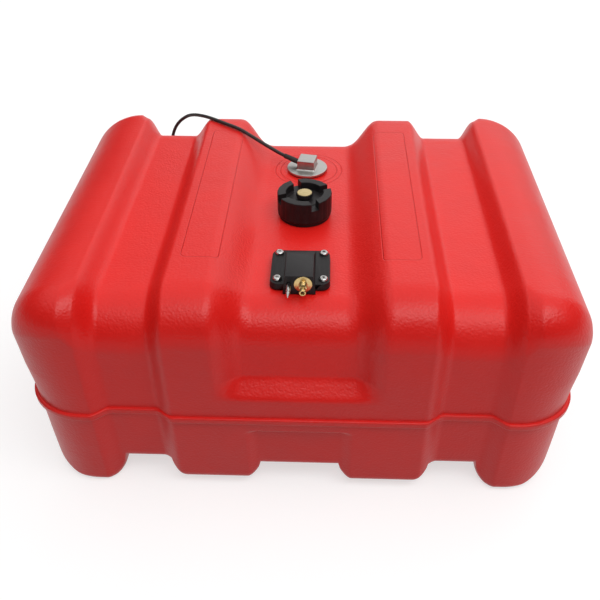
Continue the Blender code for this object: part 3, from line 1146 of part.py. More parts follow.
def build_plug(end, way, nylon, rubber, metal):
    start = end + way * SEAT_GAP
    spot = toward(way, start)
    boot = turned_mesh("plug_boot", [
        (0.0, 0.0), (PLUG_BOOT_END_RADIUS, 0.0), (PLUG_BOOT_RADIUS, PLUG_BOOT_LENGTH / 3),
        (PLUG_BOOT_RADIUS, PLUG_BOOT_LENGTH + PLUG_BOOT_SEAT), (0.0, PLUG_BOOT_LENGTH + PLUG_BOOT_SEAT)],
        16, closed=False)
    new_object("plug_boot", place_mesh(boot, spot), rubber)
    low = PLUG_BOOT_LENGTH
    high = low + PLUG_LENGTH
    shell = box_mesh("cable_plug", (-PLUG_HEIGHT / 2, -PLUG_WIDTH / 2, low), (PLUG_HEIGHT / 2, PLUG_WIDTH / 2, high))
    # The plug lies flat: its width is turned level
    level = spot @ level_turn(spot)
    plug = new_object("cable_plug", place_mesh(shell, level), nylon)
    bevel(plug, PLUG_EDGE)
    mouth = box_mesh("mouth", (PLUG_WALL - PLUG_HEIGHT / 2, PLUG_WALL - PLUG_WIDTH / 2, high - PLUG_MOUTH_DEPTH),
                     (PLUG_HEIGHT / 2 - PLUG_WALL, PLUG_WIDTH / 2 - PLUG_WALL, high + CUT_OVERRUN))
    boolean(plug, "plug_mouth", place_mesh(mouth, level))
    seat = cylinder_mesh("seat", PLUG_BOOT_RADIUS + SEAT_GAP, low - CUT_OVERRUN, low + PLUG_BOOT_SEAT + SEAT_GAP, 16)
    mouth_floor = high - PLUG_MOUTH_DEPTH
    sockets = [
        cylinder_mesh("socket", PLUG_CONTACT_RADIUS + SEAT_GAP, mouth_floor - PLUG_CONTACT_ROOT - SEAT_GAP,
                      high, 12, (0.0, side * PLUG_CONTACT_PITCH / 2))
        for side in (-1, 1)
    ]
    boolean(plug, "plug_sockets", place_mesh(joined_mesh("plug_sockets", [seat] + sockets), level))
    for index, side in enumerate((-1, 1), 1):
        contact = cylinder_mesh(f"plug_contact_{index}", PLUG_CONTACT_RADIUS, mouth_floor - PLUG_CONTACT_ROOT,
                                mouth_floor + PLUG_CONTACT_REACH, 12, (0.0, side * PLUG_CONTACT_PITCH / 2))
        new_object(f"plug_contact_{index}", place_mesh(contact, level), metal)


def level_turn(spot):
    """Turn about a frame's own Z that brings its Y level."""
    x_up = spot.col[0].z
    y_up = spot.col[1].z
    return Matrix.Rotation(math.atan2(y_up, x_up), 4, "Z")


def main():
    for item in list(bpy.data.objects):
        bpy.data.objects.remove(item, do_unlink=True)
    tank_red = make_material("tank_red", (0.68, 0.045, 0.035), 0.45)
    black_plastic = make_material("black_plastic", (0.025, 0.023, 0.024), 0.42)
    black_rubber = make_material("black_rubber", (0.03, 0.03, 0.03), 0.75)
    brass = make_material("brass", (0.62, 0.45, 0.20), 0.32, 1.0)
    stainless = make_material("stainless", (0.62, 0.62, 0.63), 0.28, 1.0)
    zinc = make_material("zinc_plate", (0.52, 0.52, 0.50), 0.38, 1.0)
    tube_plastic = make_material("tube_plastic", (0.75, 0.75, 0.72), 0.45)
    strainer_plastic = make_material("strainer_plastic", (0.12, 0.14, 0.12), 0.5)
    float_foam = make_material("float_foam", (0.05, 0.05, 0.05), 0.8)
    jacket = make_material("cable_jacket", (0.035, 0.032, 0.032), 0.5)
    nylon = make_material("nylon", (0.05, 0.05, 0.05), 0.5)

    build_tank(tank_red)
    build_cap(black_plastic, black_rubber, brass)
    outward = build_pickup(black_plastic, black_rubber, stainless, brass)
    build_nipple(outward, brass, stainless, black_rubber)
    build_tube(tube_plastic, strainer_plastic)
    build_sender(zinc, black_rubber, brass, tube_plastic, float_foam)
    end, way = build_cable(jacket, nylon)
    build_plug(end, way, nylon, black_rubber, brass)
    bpy.context.view_layer.update()


main()
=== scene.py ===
import math

import bmesh
import bpy
from mathutils import Matrix, Vector


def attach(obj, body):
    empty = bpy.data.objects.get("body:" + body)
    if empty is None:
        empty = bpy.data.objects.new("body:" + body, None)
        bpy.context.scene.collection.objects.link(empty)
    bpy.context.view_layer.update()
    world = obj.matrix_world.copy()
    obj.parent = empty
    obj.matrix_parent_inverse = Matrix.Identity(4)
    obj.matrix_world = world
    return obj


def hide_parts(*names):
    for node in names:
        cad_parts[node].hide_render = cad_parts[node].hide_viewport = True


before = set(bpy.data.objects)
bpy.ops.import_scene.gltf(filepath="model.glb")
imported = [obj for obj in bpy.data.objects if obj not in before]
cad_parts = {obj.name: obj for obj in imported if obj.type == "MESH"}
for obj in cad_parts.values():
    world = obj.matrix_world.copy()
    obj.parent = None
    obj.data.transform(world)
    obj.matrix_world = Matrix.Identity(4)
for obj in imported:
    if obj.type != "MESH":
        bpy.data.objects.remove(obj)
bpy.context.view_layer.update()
print("stage: frame loaded")

tank = {  # metres and degrees; places along the tank count from its middle
    "length": 0.5950, "depth": 0.4556, "height": 0.271, "wall": 0.0048, "endRadius": 0.0635,
    "endFootRadius": 0.0333, "endTopRadius": 0.0410, "topRadius": 0.0525, "deckTopRadius": 0.0440,
    "bottomRadius": 0.0118, "leastRadius": 0.006, "upperCorner": 0.75, "lowerCorner": 0.95,
    "cornerChange": 0.080, "upperDraft": -3.9, "lowerDraft": 4.8, "upperEndDraft": -1.7,
    "lowerEndDraft": 2.1, "deckDrop": 0.0279, "seamHeight": 0.120, "seamTall": 0.0083,
    "seamProud": 0.0033, "seamEdge": 0.0018, "beadFoot": 0.45, "beadCrown": 0.50, "beadReach": 0.9,
    "beadStep": 0.0001, "beadClear": 0.002, "ledgeRise": 0.0258, "ledgeHeight": 0.0245,
    "ledgeSoft": 0.25, "skirtDrop": 0.0203, "skirtEdge": 0.0074, "skirtInset": 0.0055,
    "grooveDrop": 0.0193, "grooveInset": 0.0126, "recessInset": 0.0225, "backRecessInset": 0.0298,
    "recessLean": 0.38, "recessLead": 0.0110, "recessLag": 0.0046, "channelRise": 0.0310,
    "innerFootRise": 0.0098, "deckEdge": 0.0473, "ribStart": 0.0955, "ribEnd": 0.1346,
    "grooveStart": 0.1572, "grooveEnd": 0.2048, "outerRibStart": 0.2260, "channelEdge": 0.0445,
    "innerFootStart": 0.0600, "innerFootEnd": 0.1300, "strapStart": 0.1470, "strapEnd": 0.2015,
    "outerFootStart": 0.2165, "footRound": 1.7,
}
gap = 0.0003  # between two pieces that touch in the real part
overrun = 0.004  # how far a cutter reaches past what it cuts
deckTop = tank["height"] - tank["deckDrop"]
endStart = tank["length"] / 2 - tank["endRadius"]
back = tank["depth"] / 2


# Materials

def startMaterial(name):
    material = bpy.data.materials.new(name)
    material.use_nodes = True
    tree = material.node_tree
    coords = tree.nodes.new("ShaderNodeTexCoord")
    return material, tree, tree.nodes["Principled BSDF"], coords.outputs["Object"]


def noiseNode(tree, vector, scale, detail=3.0, roughness=0.5):
    node = tree.nodes.new("ShaderNodeTexNoise")
    tree.links.new(vector, node.inputs["Vector"])
    node.inputs["Scale"].default_value = scale
    node.inputs["Detail"].default_value = detail
    node.inputs["Roughness"].default_value = roughness
    return node.outputs["Fac"]


def voronoiNode(tree, vector, scale):
    node = tree.nodes.new("ShaderNodeTexVoronoi")
    node.feature = "SMOOTH_F1"
    tree.links.new(vector, node.inputs["Vector"])
    node.inputs["Scale"].default_value = scale
    return node.outputs["Distance"]


def spread(tree, value, low, high, newLow=0.0, newHigh=1.0, smooth=False):
    node = tree.nodes.new("ShaderNodeMapRange")
    if smooth:
        node.interpolation_type = "SMOOTHSTEP"
    tree.links.new(value, node.inputs["Value"])
    node.inputs["From Min"].default_value = low
    node.inputs["From Max"].default_value = high
    node.inputs["To Min"].default_value = newLow
    node.inputs["To Max"].default_value = newHigh
    return node.outputs["Result"]


def calc(tree, operation, first, second=None):
    node = tree.nodes.new("ShaderNodeMath")
    node.operation = operation
    for index, value in enumerate((first, second)):
        if value is None:
            continue
        if isinstance(value, (int, float)):
            node.inputs[index].default_value = value
        else:
            tree.links.new(value, node.inputs[index])
    return node.outputs["Value"]


def mixColor(tree, share, first, second):
    node = tree.nodes.new("ShaderNodeMix")
    node.data_type = "RGBA"
    sockets = {"a": node.inputs[6], "b": node.inputs[7]}
    for socket, value in ((sockets["a"], first), (sockets["b"], second)):
        if isinstance(value, tuple):
            socket.default_value = (*value, 1.0)
        else:
            tree.links.new(value, socket)
    tree.links.new(share, node.inputs[0])
    return node.outputs[2]


def bumpNode(tree, height, strength, distance, normal=None):
    node = tree.nodes.new("ShaderNodeBump")
    tree.links.new(height, node.inputs["Height"])
    node.inputs["Strength"].default_value = strength
    node.inputs["Distance"].default_value = distance
    if normal:
        tree.links.new(normal, node.inputs["Normal"])
    return node.outputs["Normal"]


def axesOf(tree, vector):
    node = tree.nodes.new("ShaderNodeSeparateXYZ")
    tree.links.new(vector, node.inputs["Vector"])
    return node.outputs["X"], node.outputs["Y"], node.outputs["Z"]


def stretched(tree, vector, scale):
    node = tree.nodes.new("ShaderNodeMapping")
    tree.links.new(vector, node.inputs["Vector"])
    node.inputs["Scale"].default_value = scale
    return node.outputs["Vector"]


def lengthOf(tree, x, y):
    squares = calc(tree, "ADD", calc(tree, "MULTIPLY", x, x), calc(tree, "MULTIPLY", y, y))
    return calc(tree, "SQRT", squares)


def ringLine(tree, x, y, centre, radius, width):
    distance = lengthOf(tree, calc(tree, "SUBTRACT", x, centre[0]), calc(tree, "SUBTRACT", y, centre[1]))
    off = calc(tree, "ABSOLUTE", calc(tree, "SUBTRACT", distance, radius))
    return spread(tree, off, width, 0.0, smooth=True)


def panelLine(tree, x, y, centre, half, corner, width):
    past = []
    for value, middle, reach in zip((x, y), centre, half):
        away = calc(tree, "ABSOLUTE", calc(tree, "SUBTRACT", value, middle))
        past.append(calc(tree, "SUBTRACT", away, reach - corner))
    outside = lengthOf(tree, calc(tree, "MAXIMUM", past[0], 0.0), calc(tree, "MAXIMUM", past[1], 0.0))
    inside = calc(tree, "MINIMUM", calc(tree, "MAXIMUM", past[0], past[1]), 0.0)
    edge = calc(tree, "SUBTRACT", calc(tree, "ADD", outside, inside), corner)
    return spread(tree, calc(tree, "ABSOLUTE", edge), width, 0.0, smooth=True)


redPlastic = {
    "dark": (0.74, 0.0115, 0.0085), "light": (0.79, 0.0145, 0.0105), "speck": (0.62, 0.010, 0.008),
    # the line colour and its share are painted shade that darkens the engraved grooves
    "line": (0.45, 0.006, 0.005), "lineShare": 0.30, "lineDepth": 0.0006, "shine": 0.37,
    "pebbleScale": 400.0, "unevenScale": 560.0, "waveScale": 28.0, "grainDepth": 0.00050,
    "waveDepth": 0.0020, "smooth": 0.33, "dull": 0.43,
}
marks = {  # plain lines engraved in the deck and the inner ribs
    "ringPlace": (0.0018, 0.1017), "ringRadii": (0.0430, 0.0365), "ringWidth": 0.0010,
    "panelPlace": (0.1060, 0.006), "panelHalf": (0.0200, 0.150), "panelCorner": 0.0060, "panelWidth": 0.0008,
    "fadeStart": 0.012, "fadeEnd": 0.002,
}


def engravedLines(tree, x, y, z):
    outerRadius, innerRadius = marks["ringRadii"]
    lines = ringLine(tree, x, y, marks["ringPlace"], outerRadius, marks["ringWidth"])
    ring = ringLine(tree, x, y, marks["ringPlace"], innerRadius, marks["ringWidth"])
    lines = calc(tree, "MAXIMUM", lines, ring)
    panel = panelLine(tree, calc(tree, "ABSOLUTE", x), y, marks["panelPlace"], marks["panelHalf"],
                      marks["panelCorner"], marks["panelWidth"])
    lines = calc(tree, "MAXIMUM", lines, panel)
    upper = spread(tree, z, deckTop - marks["fadeStart"], deckTop - marks["fadeEnd"])
    return calc(tree, "MULTIPLY", lines, upper)


def makeTankPlastic():
    look = redPlastic
    material, tree, shader, coords = startMaterial("tankPlastic")
    x, y, z = axesOf(tree, coords)
    mottled = noiseNode(tree, coords, 9.0, 4.0, 0.6)
    specks = noiseNode(tree, coords, 900.0, 2.0, 0.7)
    color = mixColor(tree, spread(tree, mottled, 0.35, 0.65), look["dark"], look["light"])
    color = mixColor(tree, spread(tree, specks, 0.70, 0.78), color, look["speck"])
    pebbles = spread(tree, voronoiNode(tree, coords, look["pebbleScale"]), 0.05, 0.65)
    uneven = noiseNode(tree, coords, look["unevenScale"], 2.0, 0.5)
    grain = calc(tree, "ADD", calc(tree, "MULTIPLY", pebbles, 0.7), calc(tree, "MULTIPLY", uneven, 0.6))
    waves = noiseNode(tree, coords, look["waveScale"], 2.0, 0.5)
    lines = engravedLines(tree, x, y, z)
    normal = bumpNode(tree, waves, 0.30, look["waveDepth"])
    normal = bumpNode(tree, grain, 0.50, look["grainDepth"], normal)
    normal = bumpNode(tree, calc(tree, "MULTIPLY", lines, -1.0), 0.8, look["lineDepth"], normal)
    tree.links.new(normal, shader.inputs["Normal"])
    # the engraved lines are also darkened in colour here: painted shade in their grooves, added to the real
    # bump
    color = mixColor(tree, calc(tree, "MULTIPLY", lines, look["lineShare"]), color, look["line"])
    tree.links.new(color, shader.inputs["Base Color"])
    tree.links.new(spread(tree, mottled, 0.3, 0.7, look["smooth"], look["dull"]), shader.inputs["Roughness"])
    shader.inputs["Specular IOR Level"].default_value = look["shine"]
    return material


def makePlastic(name, dark, light, roughness, grainScale, grainDepth, strength=0.35, shine=0.5):
    material, tree, shader, coords = startMaterial(name)
    mottled = noiseNode(tree, coords, 70.0, 4.0, 0.6)
    grain = noiseNode(tree, coords, grainScale, 3.0, 0.6)
    color = mixColor(tree, spread(tree, mottled, 0.3, 0.7), dark, light)
    tree.links.new(color, shader.inputs["Base Color"])
    dullness = spread(tree, mottled, 0.3, 0.7, roughness - 0.05, roughness + 0.06)
    tree.links.new(dullness, shader.inputs["Roughness"])
    shader.inputs["Specular IOR Level"].default_value = shine
    tree.links.new(bumpNode(tree, grain, strength, grainDepth), shader.inputs["Normal"])
    return material


def makeMetal(name, dark, light, roughness, grainScale, stretch, grainDepth, strength=0.3):
    material, tree, shader, coords = startMaterial(name)
    mottled = noiseNode(tree, coords, 160.0, 5.0, 0.65)
    lathed = noiseNode(tree, stretched(tree, coords, stretch), grainScale, 3.0, 0.6)
    color = mixColor(tree, spread(tree, mottled, 0.3, 0.72), dark, light)
    tree.links.new(color, shader.inputs["Base Color"])
    shader.inputs["Metallic"].default_value = 1.0
    dullness = spread(tree, mottled, 0.3, 0.7, roughness - 0.06, roughness + 0.08)
    tree.links.new(dullness, shader.inputs["Roughness"])
    tree.links.new(bumpNode(tree, lathed, strength, grainDepth), shader.inputs["Normal"])
    return material


mats = {
    "tank": makeTankPlastic(),
    "black": makePlastic("blackPlastic", (0.012, 0.0105, 0.011), (0.022, 0.019, 0.020), roughness=0.40,
                         grainScale=1500.0, grainDepth=0.0001, strength=0.4, shine=0.2),
    "capBlack": makePlastic("capPlastic", (0.010, 0.008, 0.0085), (0.020, 0.016, 0.017), roughness=0.42,
                            grainScale=1300.0, grainDepth=0.00012, strength=0.5, shine=0.25),
    "rubber": makePlastic("blackRubber", (0.014, 0.013, 0.013), (0.026, 0.025, 0.024), roughness=0.68,
                          grainScale=1100.0, grainDepth=0.00012),
    "jacket": makePlastic("cableJacket", (0.016, 0.0145, 0.0145), (0.026, 0.024, 0.024), roughness=0.46,
                          grainScale=1400.0, grainDepth=0.00006),
    "nylon": makePlastic("blackNylon", (0.013, 0.0125, 0.0125), (0.022, 0.021, 0.021), roughness=0.45,
                         grainScale=1600.0, grainDepth=0.00006),
    "pale": makePlastic("paleTubePlastic", (0.62, 0.62, 0.57), (0.72, 0.72, 0.67), roughness=0.42,
                        grainScale=900.0, grainDepth=0.00005, strength=0.2),
    "strainer": makePlastic("strainerPlastic", (0.020, 0.024, 0.020), (0.034, 0.040, 0.034), roughness=0.5,
                            grainScale=1400.0, grainDepth=0.00006),
    "foam": makePlastic("floatFoam", (0.020, 0.020, 0.020), (0.045, 0.045, 0.045), roughness=0.85,
                        grainScale=2600.0, grainDepth=0.00025, strength=0.8),
    "brass": makeMetal("turnedBrass", (0.52, 0.36, 0.14), (0.74, 0.56, 0.27), roughness=0.27,
                       grainScale=300.0, stretch=(1.0, 14.0, 1.0), grainDepth=0.00005),
    "ventBrass": makeMetal("stippledBrass", (0.50, 0.38, 0.17), (0.70, 0.58, 0.32), roughness=0.36,
                           grainScale=1500.0, stretch=(1.0, 1.0, 1.0), grainDepth=0.00012, strength=0.6),
    "steel": makeMetal("stainless", (0.44, 0.43, 0.42), (0.62, 0.61, 0.60), roughness=0.22,
                       grainScale=320.0, stretch=(1.0, 12.0, 1.0), grainDepth=0.00002, strength=0.15),
    "zinc": makeMetal("zincPlate", (0.44, 0.43, 0.41), (0.50, 0.49, 0.47), roughness=0.34,
                      grainScale=260.0, stretch=(1.0, 1.0, 1.0), grainDepth=0.00001, strength=0.1),
}
print("stage: materials made")


# Mesh tools

def oneMaterial(mesh, material):
    mesh.materials.clear()
    mesh.materials.append(material)


def addObject(name, mesh, material, angle=35):
    item = bpy.data.objects.new(name, mesh)
    bpy.context.scene.collection.objects.link(item)
    oneMaterial(mesh, material)
    mesh.shade_smooth()
    mesh.set_sharp_from_angle(angle=math.radians(angle))
    return item


def quarter(steps):
    return [math.radians(90 * step / steps) for step in range(steps + 1)]


def closeMesh(name, work):
    bmesh.ops.remove_doubles(work, verts=work.verts, dist=0.000001)
    bmesh.ops.recalc_face_normals(work, faces=work.faces)
    mesh = bpy.data.meshes.new(name)
    work.to_mesh(mesh)
    work.free()
    return mesh


def softened(profile, width, steps=3):
    points = []
    count = len(profile)
    for index, (radius, height) in enumerate(profile):
        before = Vector(profile[index - 1])
        after = Vector(profile[(index + 1) % count])
        here = Vector((radius, height))
        if radius == 0.0 or before == here or after == here:
            points.append((radius, height))
            continue
        back = before - here
        ahead = after - here
        reach = min(width, back.length * 0.42, ahead.length * 0.42)
        turn = back.angle(ahead)
        if turn > math.radians(165) or reach < 0.00002:
            points.append((radius, height))
            continue
        start = here + back.normalized() * reach
        end = here + ahead.normalized() * reach
        for step in range(steps + 1):
            t = step / steps
            point = start * (1 - t) ** 2 + here * (2 * t * (1 - t)) + end * t ** 2
            points.append((point.x, point.y))
    return points


def turned(name, profile, segments, closed=True, edge=0.0, edgeSteps=3):
    if edge:
        profile = softened(profile, edge, edgeSteps)
    work = bmesh.new()
    points = [work.verts.new((radius, 0.0, height)) for radius, height in profile]
    edges = [work.edges.new(pair) for pair in zip(points, points[1:])]
    if closed:
        edges.append(work.edges.new((points[-1], points[0])))
    bmesh.ops.spin(work, geom=points + edges, cent=(0.0, 0.0, 0.0), axis=(0.0, 0.0, 1.0),
                   angle=math.tau, steps=segments, use_merge=True)
    return closeMesh(name, work)


def prism(name, outline, length):
    work = bmesh.new()
    face = work.faces.new([work.verts.new((x, y, 0.0)) for x, y in outline])
    raised = bmesh.ops.extrude_face_region(work, geom=[face])
    moved = [item for item in raised["geom"] if isinstance(item, bmesh.types.BMVert)]
    bmesh.ops.translate(work, verts=moved, vec=(0.0, 0.0, length))
    return closeMesh(name, work)


def roundedOutline(width, depth, radius, steps):
    points = []
    for corner in range(4):
        middle = math.radians(90 * corner + 45)
        cornerX = math.copysign(width / 2 - radius, math.cos(middle))
        cornerY = math.copysign(depth / 2 - radius, math.sin(middle))
        for step in range(steps + 1):
            angle = math.radians(90 * corner + 90 * step / steps)
            points.append((cornerX + radius * math.cos(angle), cornerY + radius * math.sin(angle)))
    return points


def bridge(work, rings):
    for ring, following in zip(rings, rings[1:]):
        for i in range(len(ring)):
            j = (i + 1) % len(ring)
            work.faces.new((ring[i], ring[j], following[j], following[i]))
    work.faces.new(rings[0][::-1])
    work.faces.new(rings[-1])


def flare(name, width, corner, reach, steps):
    work = bmesh.new()
    rings = []
    for angle in quarter(steps):
        out = reach * (1 - math.sin(angle))
        rise = reach * (1 - math.cos(angle))
        outline = roundedOutline(width + 2 * out, width + 2 * out, corner + out, 5)
        rings.append([work.verts.new((x, y, rise)) for x, y in outline])
    bridge(work, rings)
    return closeMesh(name, work)


def boxMesh(name, low, high):
    work = bmesh.new()
    bmesh.ops.create_cube(work, size=1.0)
    for vert in work.verts:
        vert.co = Vector(l + (h - l) * (c + 0.5) for l, h, c in zip(low, high, vert.co))
    return closeMesh(name, work)


def cylinderMesh(name, radius, low, high, segments, place=(0.0, 0.0)):
    mesh = turned(name, [(0.0, low), (radius, low), (radius, high), (0.0, high)], segments, closed=False)
    mesh.transform(Matrix.Translation((place[0], place[1], 0.0)))
    return mesh


def moved(mesh, matrix):
    mesh.transform(matrix)
    return mesh


def joined(name, meshes):
    work = bmesh.new()
    for mesh in meshes:
        work.from_mesh(mesh)
        bpy.data.meshes.remove(mesh)
    mesh = bpy.data.meshes.new(name)
    work.to_mesh(mesh)
    work.free()
    return mesh


def toward(direction, place):
    turn = Vector(direction).normalized().to_track_quat("Z", "Y").to_matrix().to_4x4()
    return Matrix.Translation(place) @ turn


def combine(target, mesh, operation):
    helper = bpy.data.objects.new("helper", mesh)
    bpy.context.scene.collection.objects.link(helper)
    modifier = target.modifiers.new("combine", "BOOLEAN")
    modifier.operation = operation
    modifier.solver = "EXACT"
    modifier.object = helper
    settle(target)
    bpy.data.objects.remove(helper, do_unlink=True)


def settle(target, angle=None):
    graph = bpy.context.evaluated_depsgraph_get()
    mesh = bpy.data.meshes.new_from_object(target.evaluated_get(graph), depsgraph=graph)
    target.modifiers.clear()
    target.data = mesh
    if angle:
        mesh.shade_smooth()
        mesh.set_sharp_from_angle(angle=math.radians(angle))


def steadyNormals(target, weight):
    modifier = target.modifiers.new("steady", "WEIGHTED_NORMAL")
    modifier.keep_sharp = True
    modifier.weight = weight
    settle(target)


def roundEdges(target, width, segments, angle, sharp):
    modifier = target.modifiers.new("edges", "BEVEL")
    modifier.width = width
    modifier.segments = segments
    modifier.limit_method = "ANGLE"
    modifier.angle_limit = math.radians(angle)
    modifier.use_clamp_overlap = True
    modifier.harden_normals = False
    settle(target, sharp)
    steadyNormals(target, 80)


def helixRidge(name, radius, low, high, lead, proud, width, perTurn=48):
    work = bmesh.new()
    turns = (high - low) / lead
    count = max(int(perTurn * turns), 2)
    buried = radius - 0.0004  # the ridge's root lies inside the wall
    rows = []
    for index in range(count + 1):
        share = index / count
        angle = math.tau * turns * share
        height = low + (high - low) * share
        fade = min(1.0, min(share, 1.0 - share) * count / 8)  # runs in and out over eight steps
        crest = radius + proud * fade
        outline = [(radius, -width / 2), (crest, -width / 5), (crest, width / 5), (radius, width / 2),
                   (buried, 0.0)]
        around = (math.cos(angle), math.sin(angle))
        rows.append([work.verts.new((r * around[0], r * around[1], height + dz)) for r, dz in outline])
    bridge(work, rows)
    return closeMesh(name, work)


def place(piece, body, slotName, *nodes):
    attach(piece, body)
    if nodes:
        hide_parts(*nodes)
    return piece


# Tank moulding

neck = {
    "y": -0.0103, "radius": 0.0250, "bore": 0.0205, "height": 0.0160, "fillet": 0.0020, "edge": 0.0008,
    "rootWidth": 0.002, "rootDrop": 0.0006, "threadLead": 0.0055, "threadProud": 0.0007,
    "threadWidth": 0.0022, "threadStart": 0.0035, "threadStop": 0.0025,
}
boss = {  # under the deck, for the screws' inserts
    "hole": 0.0045, "bore": 0.0042, "radius": 0.0072, "seat": 0.0006, "shoulder": 0.0030, "pocket": 0.0108,
    "depth": 0.0135, "edge": 0.0010,
}
socketRing = {  # under the deck, for the sender's insert
    "bore": 0.0228, "lip": 0.0203, "radius": 0.0270, "seat": 0.0006, "step": 0.0126, "depth": 0.0150,
    "edge": 0.0008,
}


def eased(share):
    share = min(max(share, 0.0), 1.0)
    return share * share * (3.0 - 2.0 * share)


def ramp(share, soft):
    share = min(max(share, 0.0), 1.0)
    if share < soft:
        return share ** 2 / (2 * soft * (1 - soft))
    if share > 1 - soft:
        return 1 - (1 - share) ** 2 / (2 * soft * (1 - soft))
    return (share - soft / 2) / (1 - soft)


def readFoot(at):
    at = abs(at)
    power = tank["footRound"]
    for (start, low), (end, high) in zip(knots["bottom"], knots["bottom"][1:]):
        if at <= end:
            share = (at - start) / (end - start)
            fromFoot = share if high > low else 1 - share
            return min(low, high) + abs(high - low) * (1 - (1 - fromFoot ** power) ** (1 / power))
    return knots["bottom"][-1][1]


def readKnots(knots, at):
    at = abs(at)
    for (start, low), (end, high) in zip(knots, knots[1:]):
        if at <= end:
            return low + (high - low) * eased((at - start) / (end - start))
    return knots[-1][1]


def grooveKnots(depth):
    return [(tank["ribEnd"], 0.0), (tank["grooveStart"], depth), (tank["grooveEnd"], depth),
            (tank["outerRibStart"], 0.0)]


def recessKnots(recess):
    return [(0.0, recess), (tank["deckEdge"] + tank["recessLead"], recess),
            (tank["ribStart"] - tank["recessLag"], 0.0), *grooveKnots(tank["grooveInset"])]


knots = {
    "top": [(0.0, tank["deckDrop"]), (tank["deckEdge"], tank["deckDrop"]), (tank["ribStart"], 0.0),
            *grooveKnots(tank["grooveDrop"])],
    "front": recessKnots(tank["recessInset"]),
    "back": recessKnots(tank["backRecessInset"]),
    "lower": [(0.0, 0.0), *grooveKnots(tank["grooveInset"])],
    "skirt": [(0.0, tank["skirtInset"]), (tank["channelEdge"], tank["skirtInset"]),
              (tank["innerFootStart"], 0.0)],
    "bottom": [(0.0, tank["channelRise"]), (tank["channelEdge"], tank["channelRise"]),
               (tank["innerFootStart"], tank["innerFootRise"]),
               (tank["innerFootEnd"], tank["innerFootRise"]),
               (tank["strapStart"], tank["channelRise"]), (tank["strapEnd"], tank["channelRise"]),
               (tank["outerFootStart"], 0.0)],
    "topRadius": [(0.0, tank["deckTopRadius"]), (tank["deckEdge"], tank["deckTopRadius"]),
                  (tank["ribStart"], tank["topRadius"]), (tank["outerRibStart"], tank["topRadius"]),
                  (endStart, tank["endTopRadius"])],
}


def tankStations(slopeSteps, flatSteps, endSteps, spacing):
    marked = [0.0]
    for key in ("top", "bottom"):
        for (start, low), (end, high) in zip(knots[key], knots[key][1:]):
            steps = slopeSteps if low != high else flatSteps
            marked += [start + (end - start) * step / steps for step in range(steps + 1)]
    half = []
    for mark in sorted(marked):
        if (not half or mark - half[-1][0] >= spacing) and mark < endStart - spacing:
            half.append((mark, 0.0))
    radius = tank["endRadius"]
    for angle in quarter(endSteps):
        half.append((endStart + radius * math.sin(angle), radius * (1 - math.cos(angle))))
    return [(-at, inset) for at, inset in reversed(half[1:])] + half


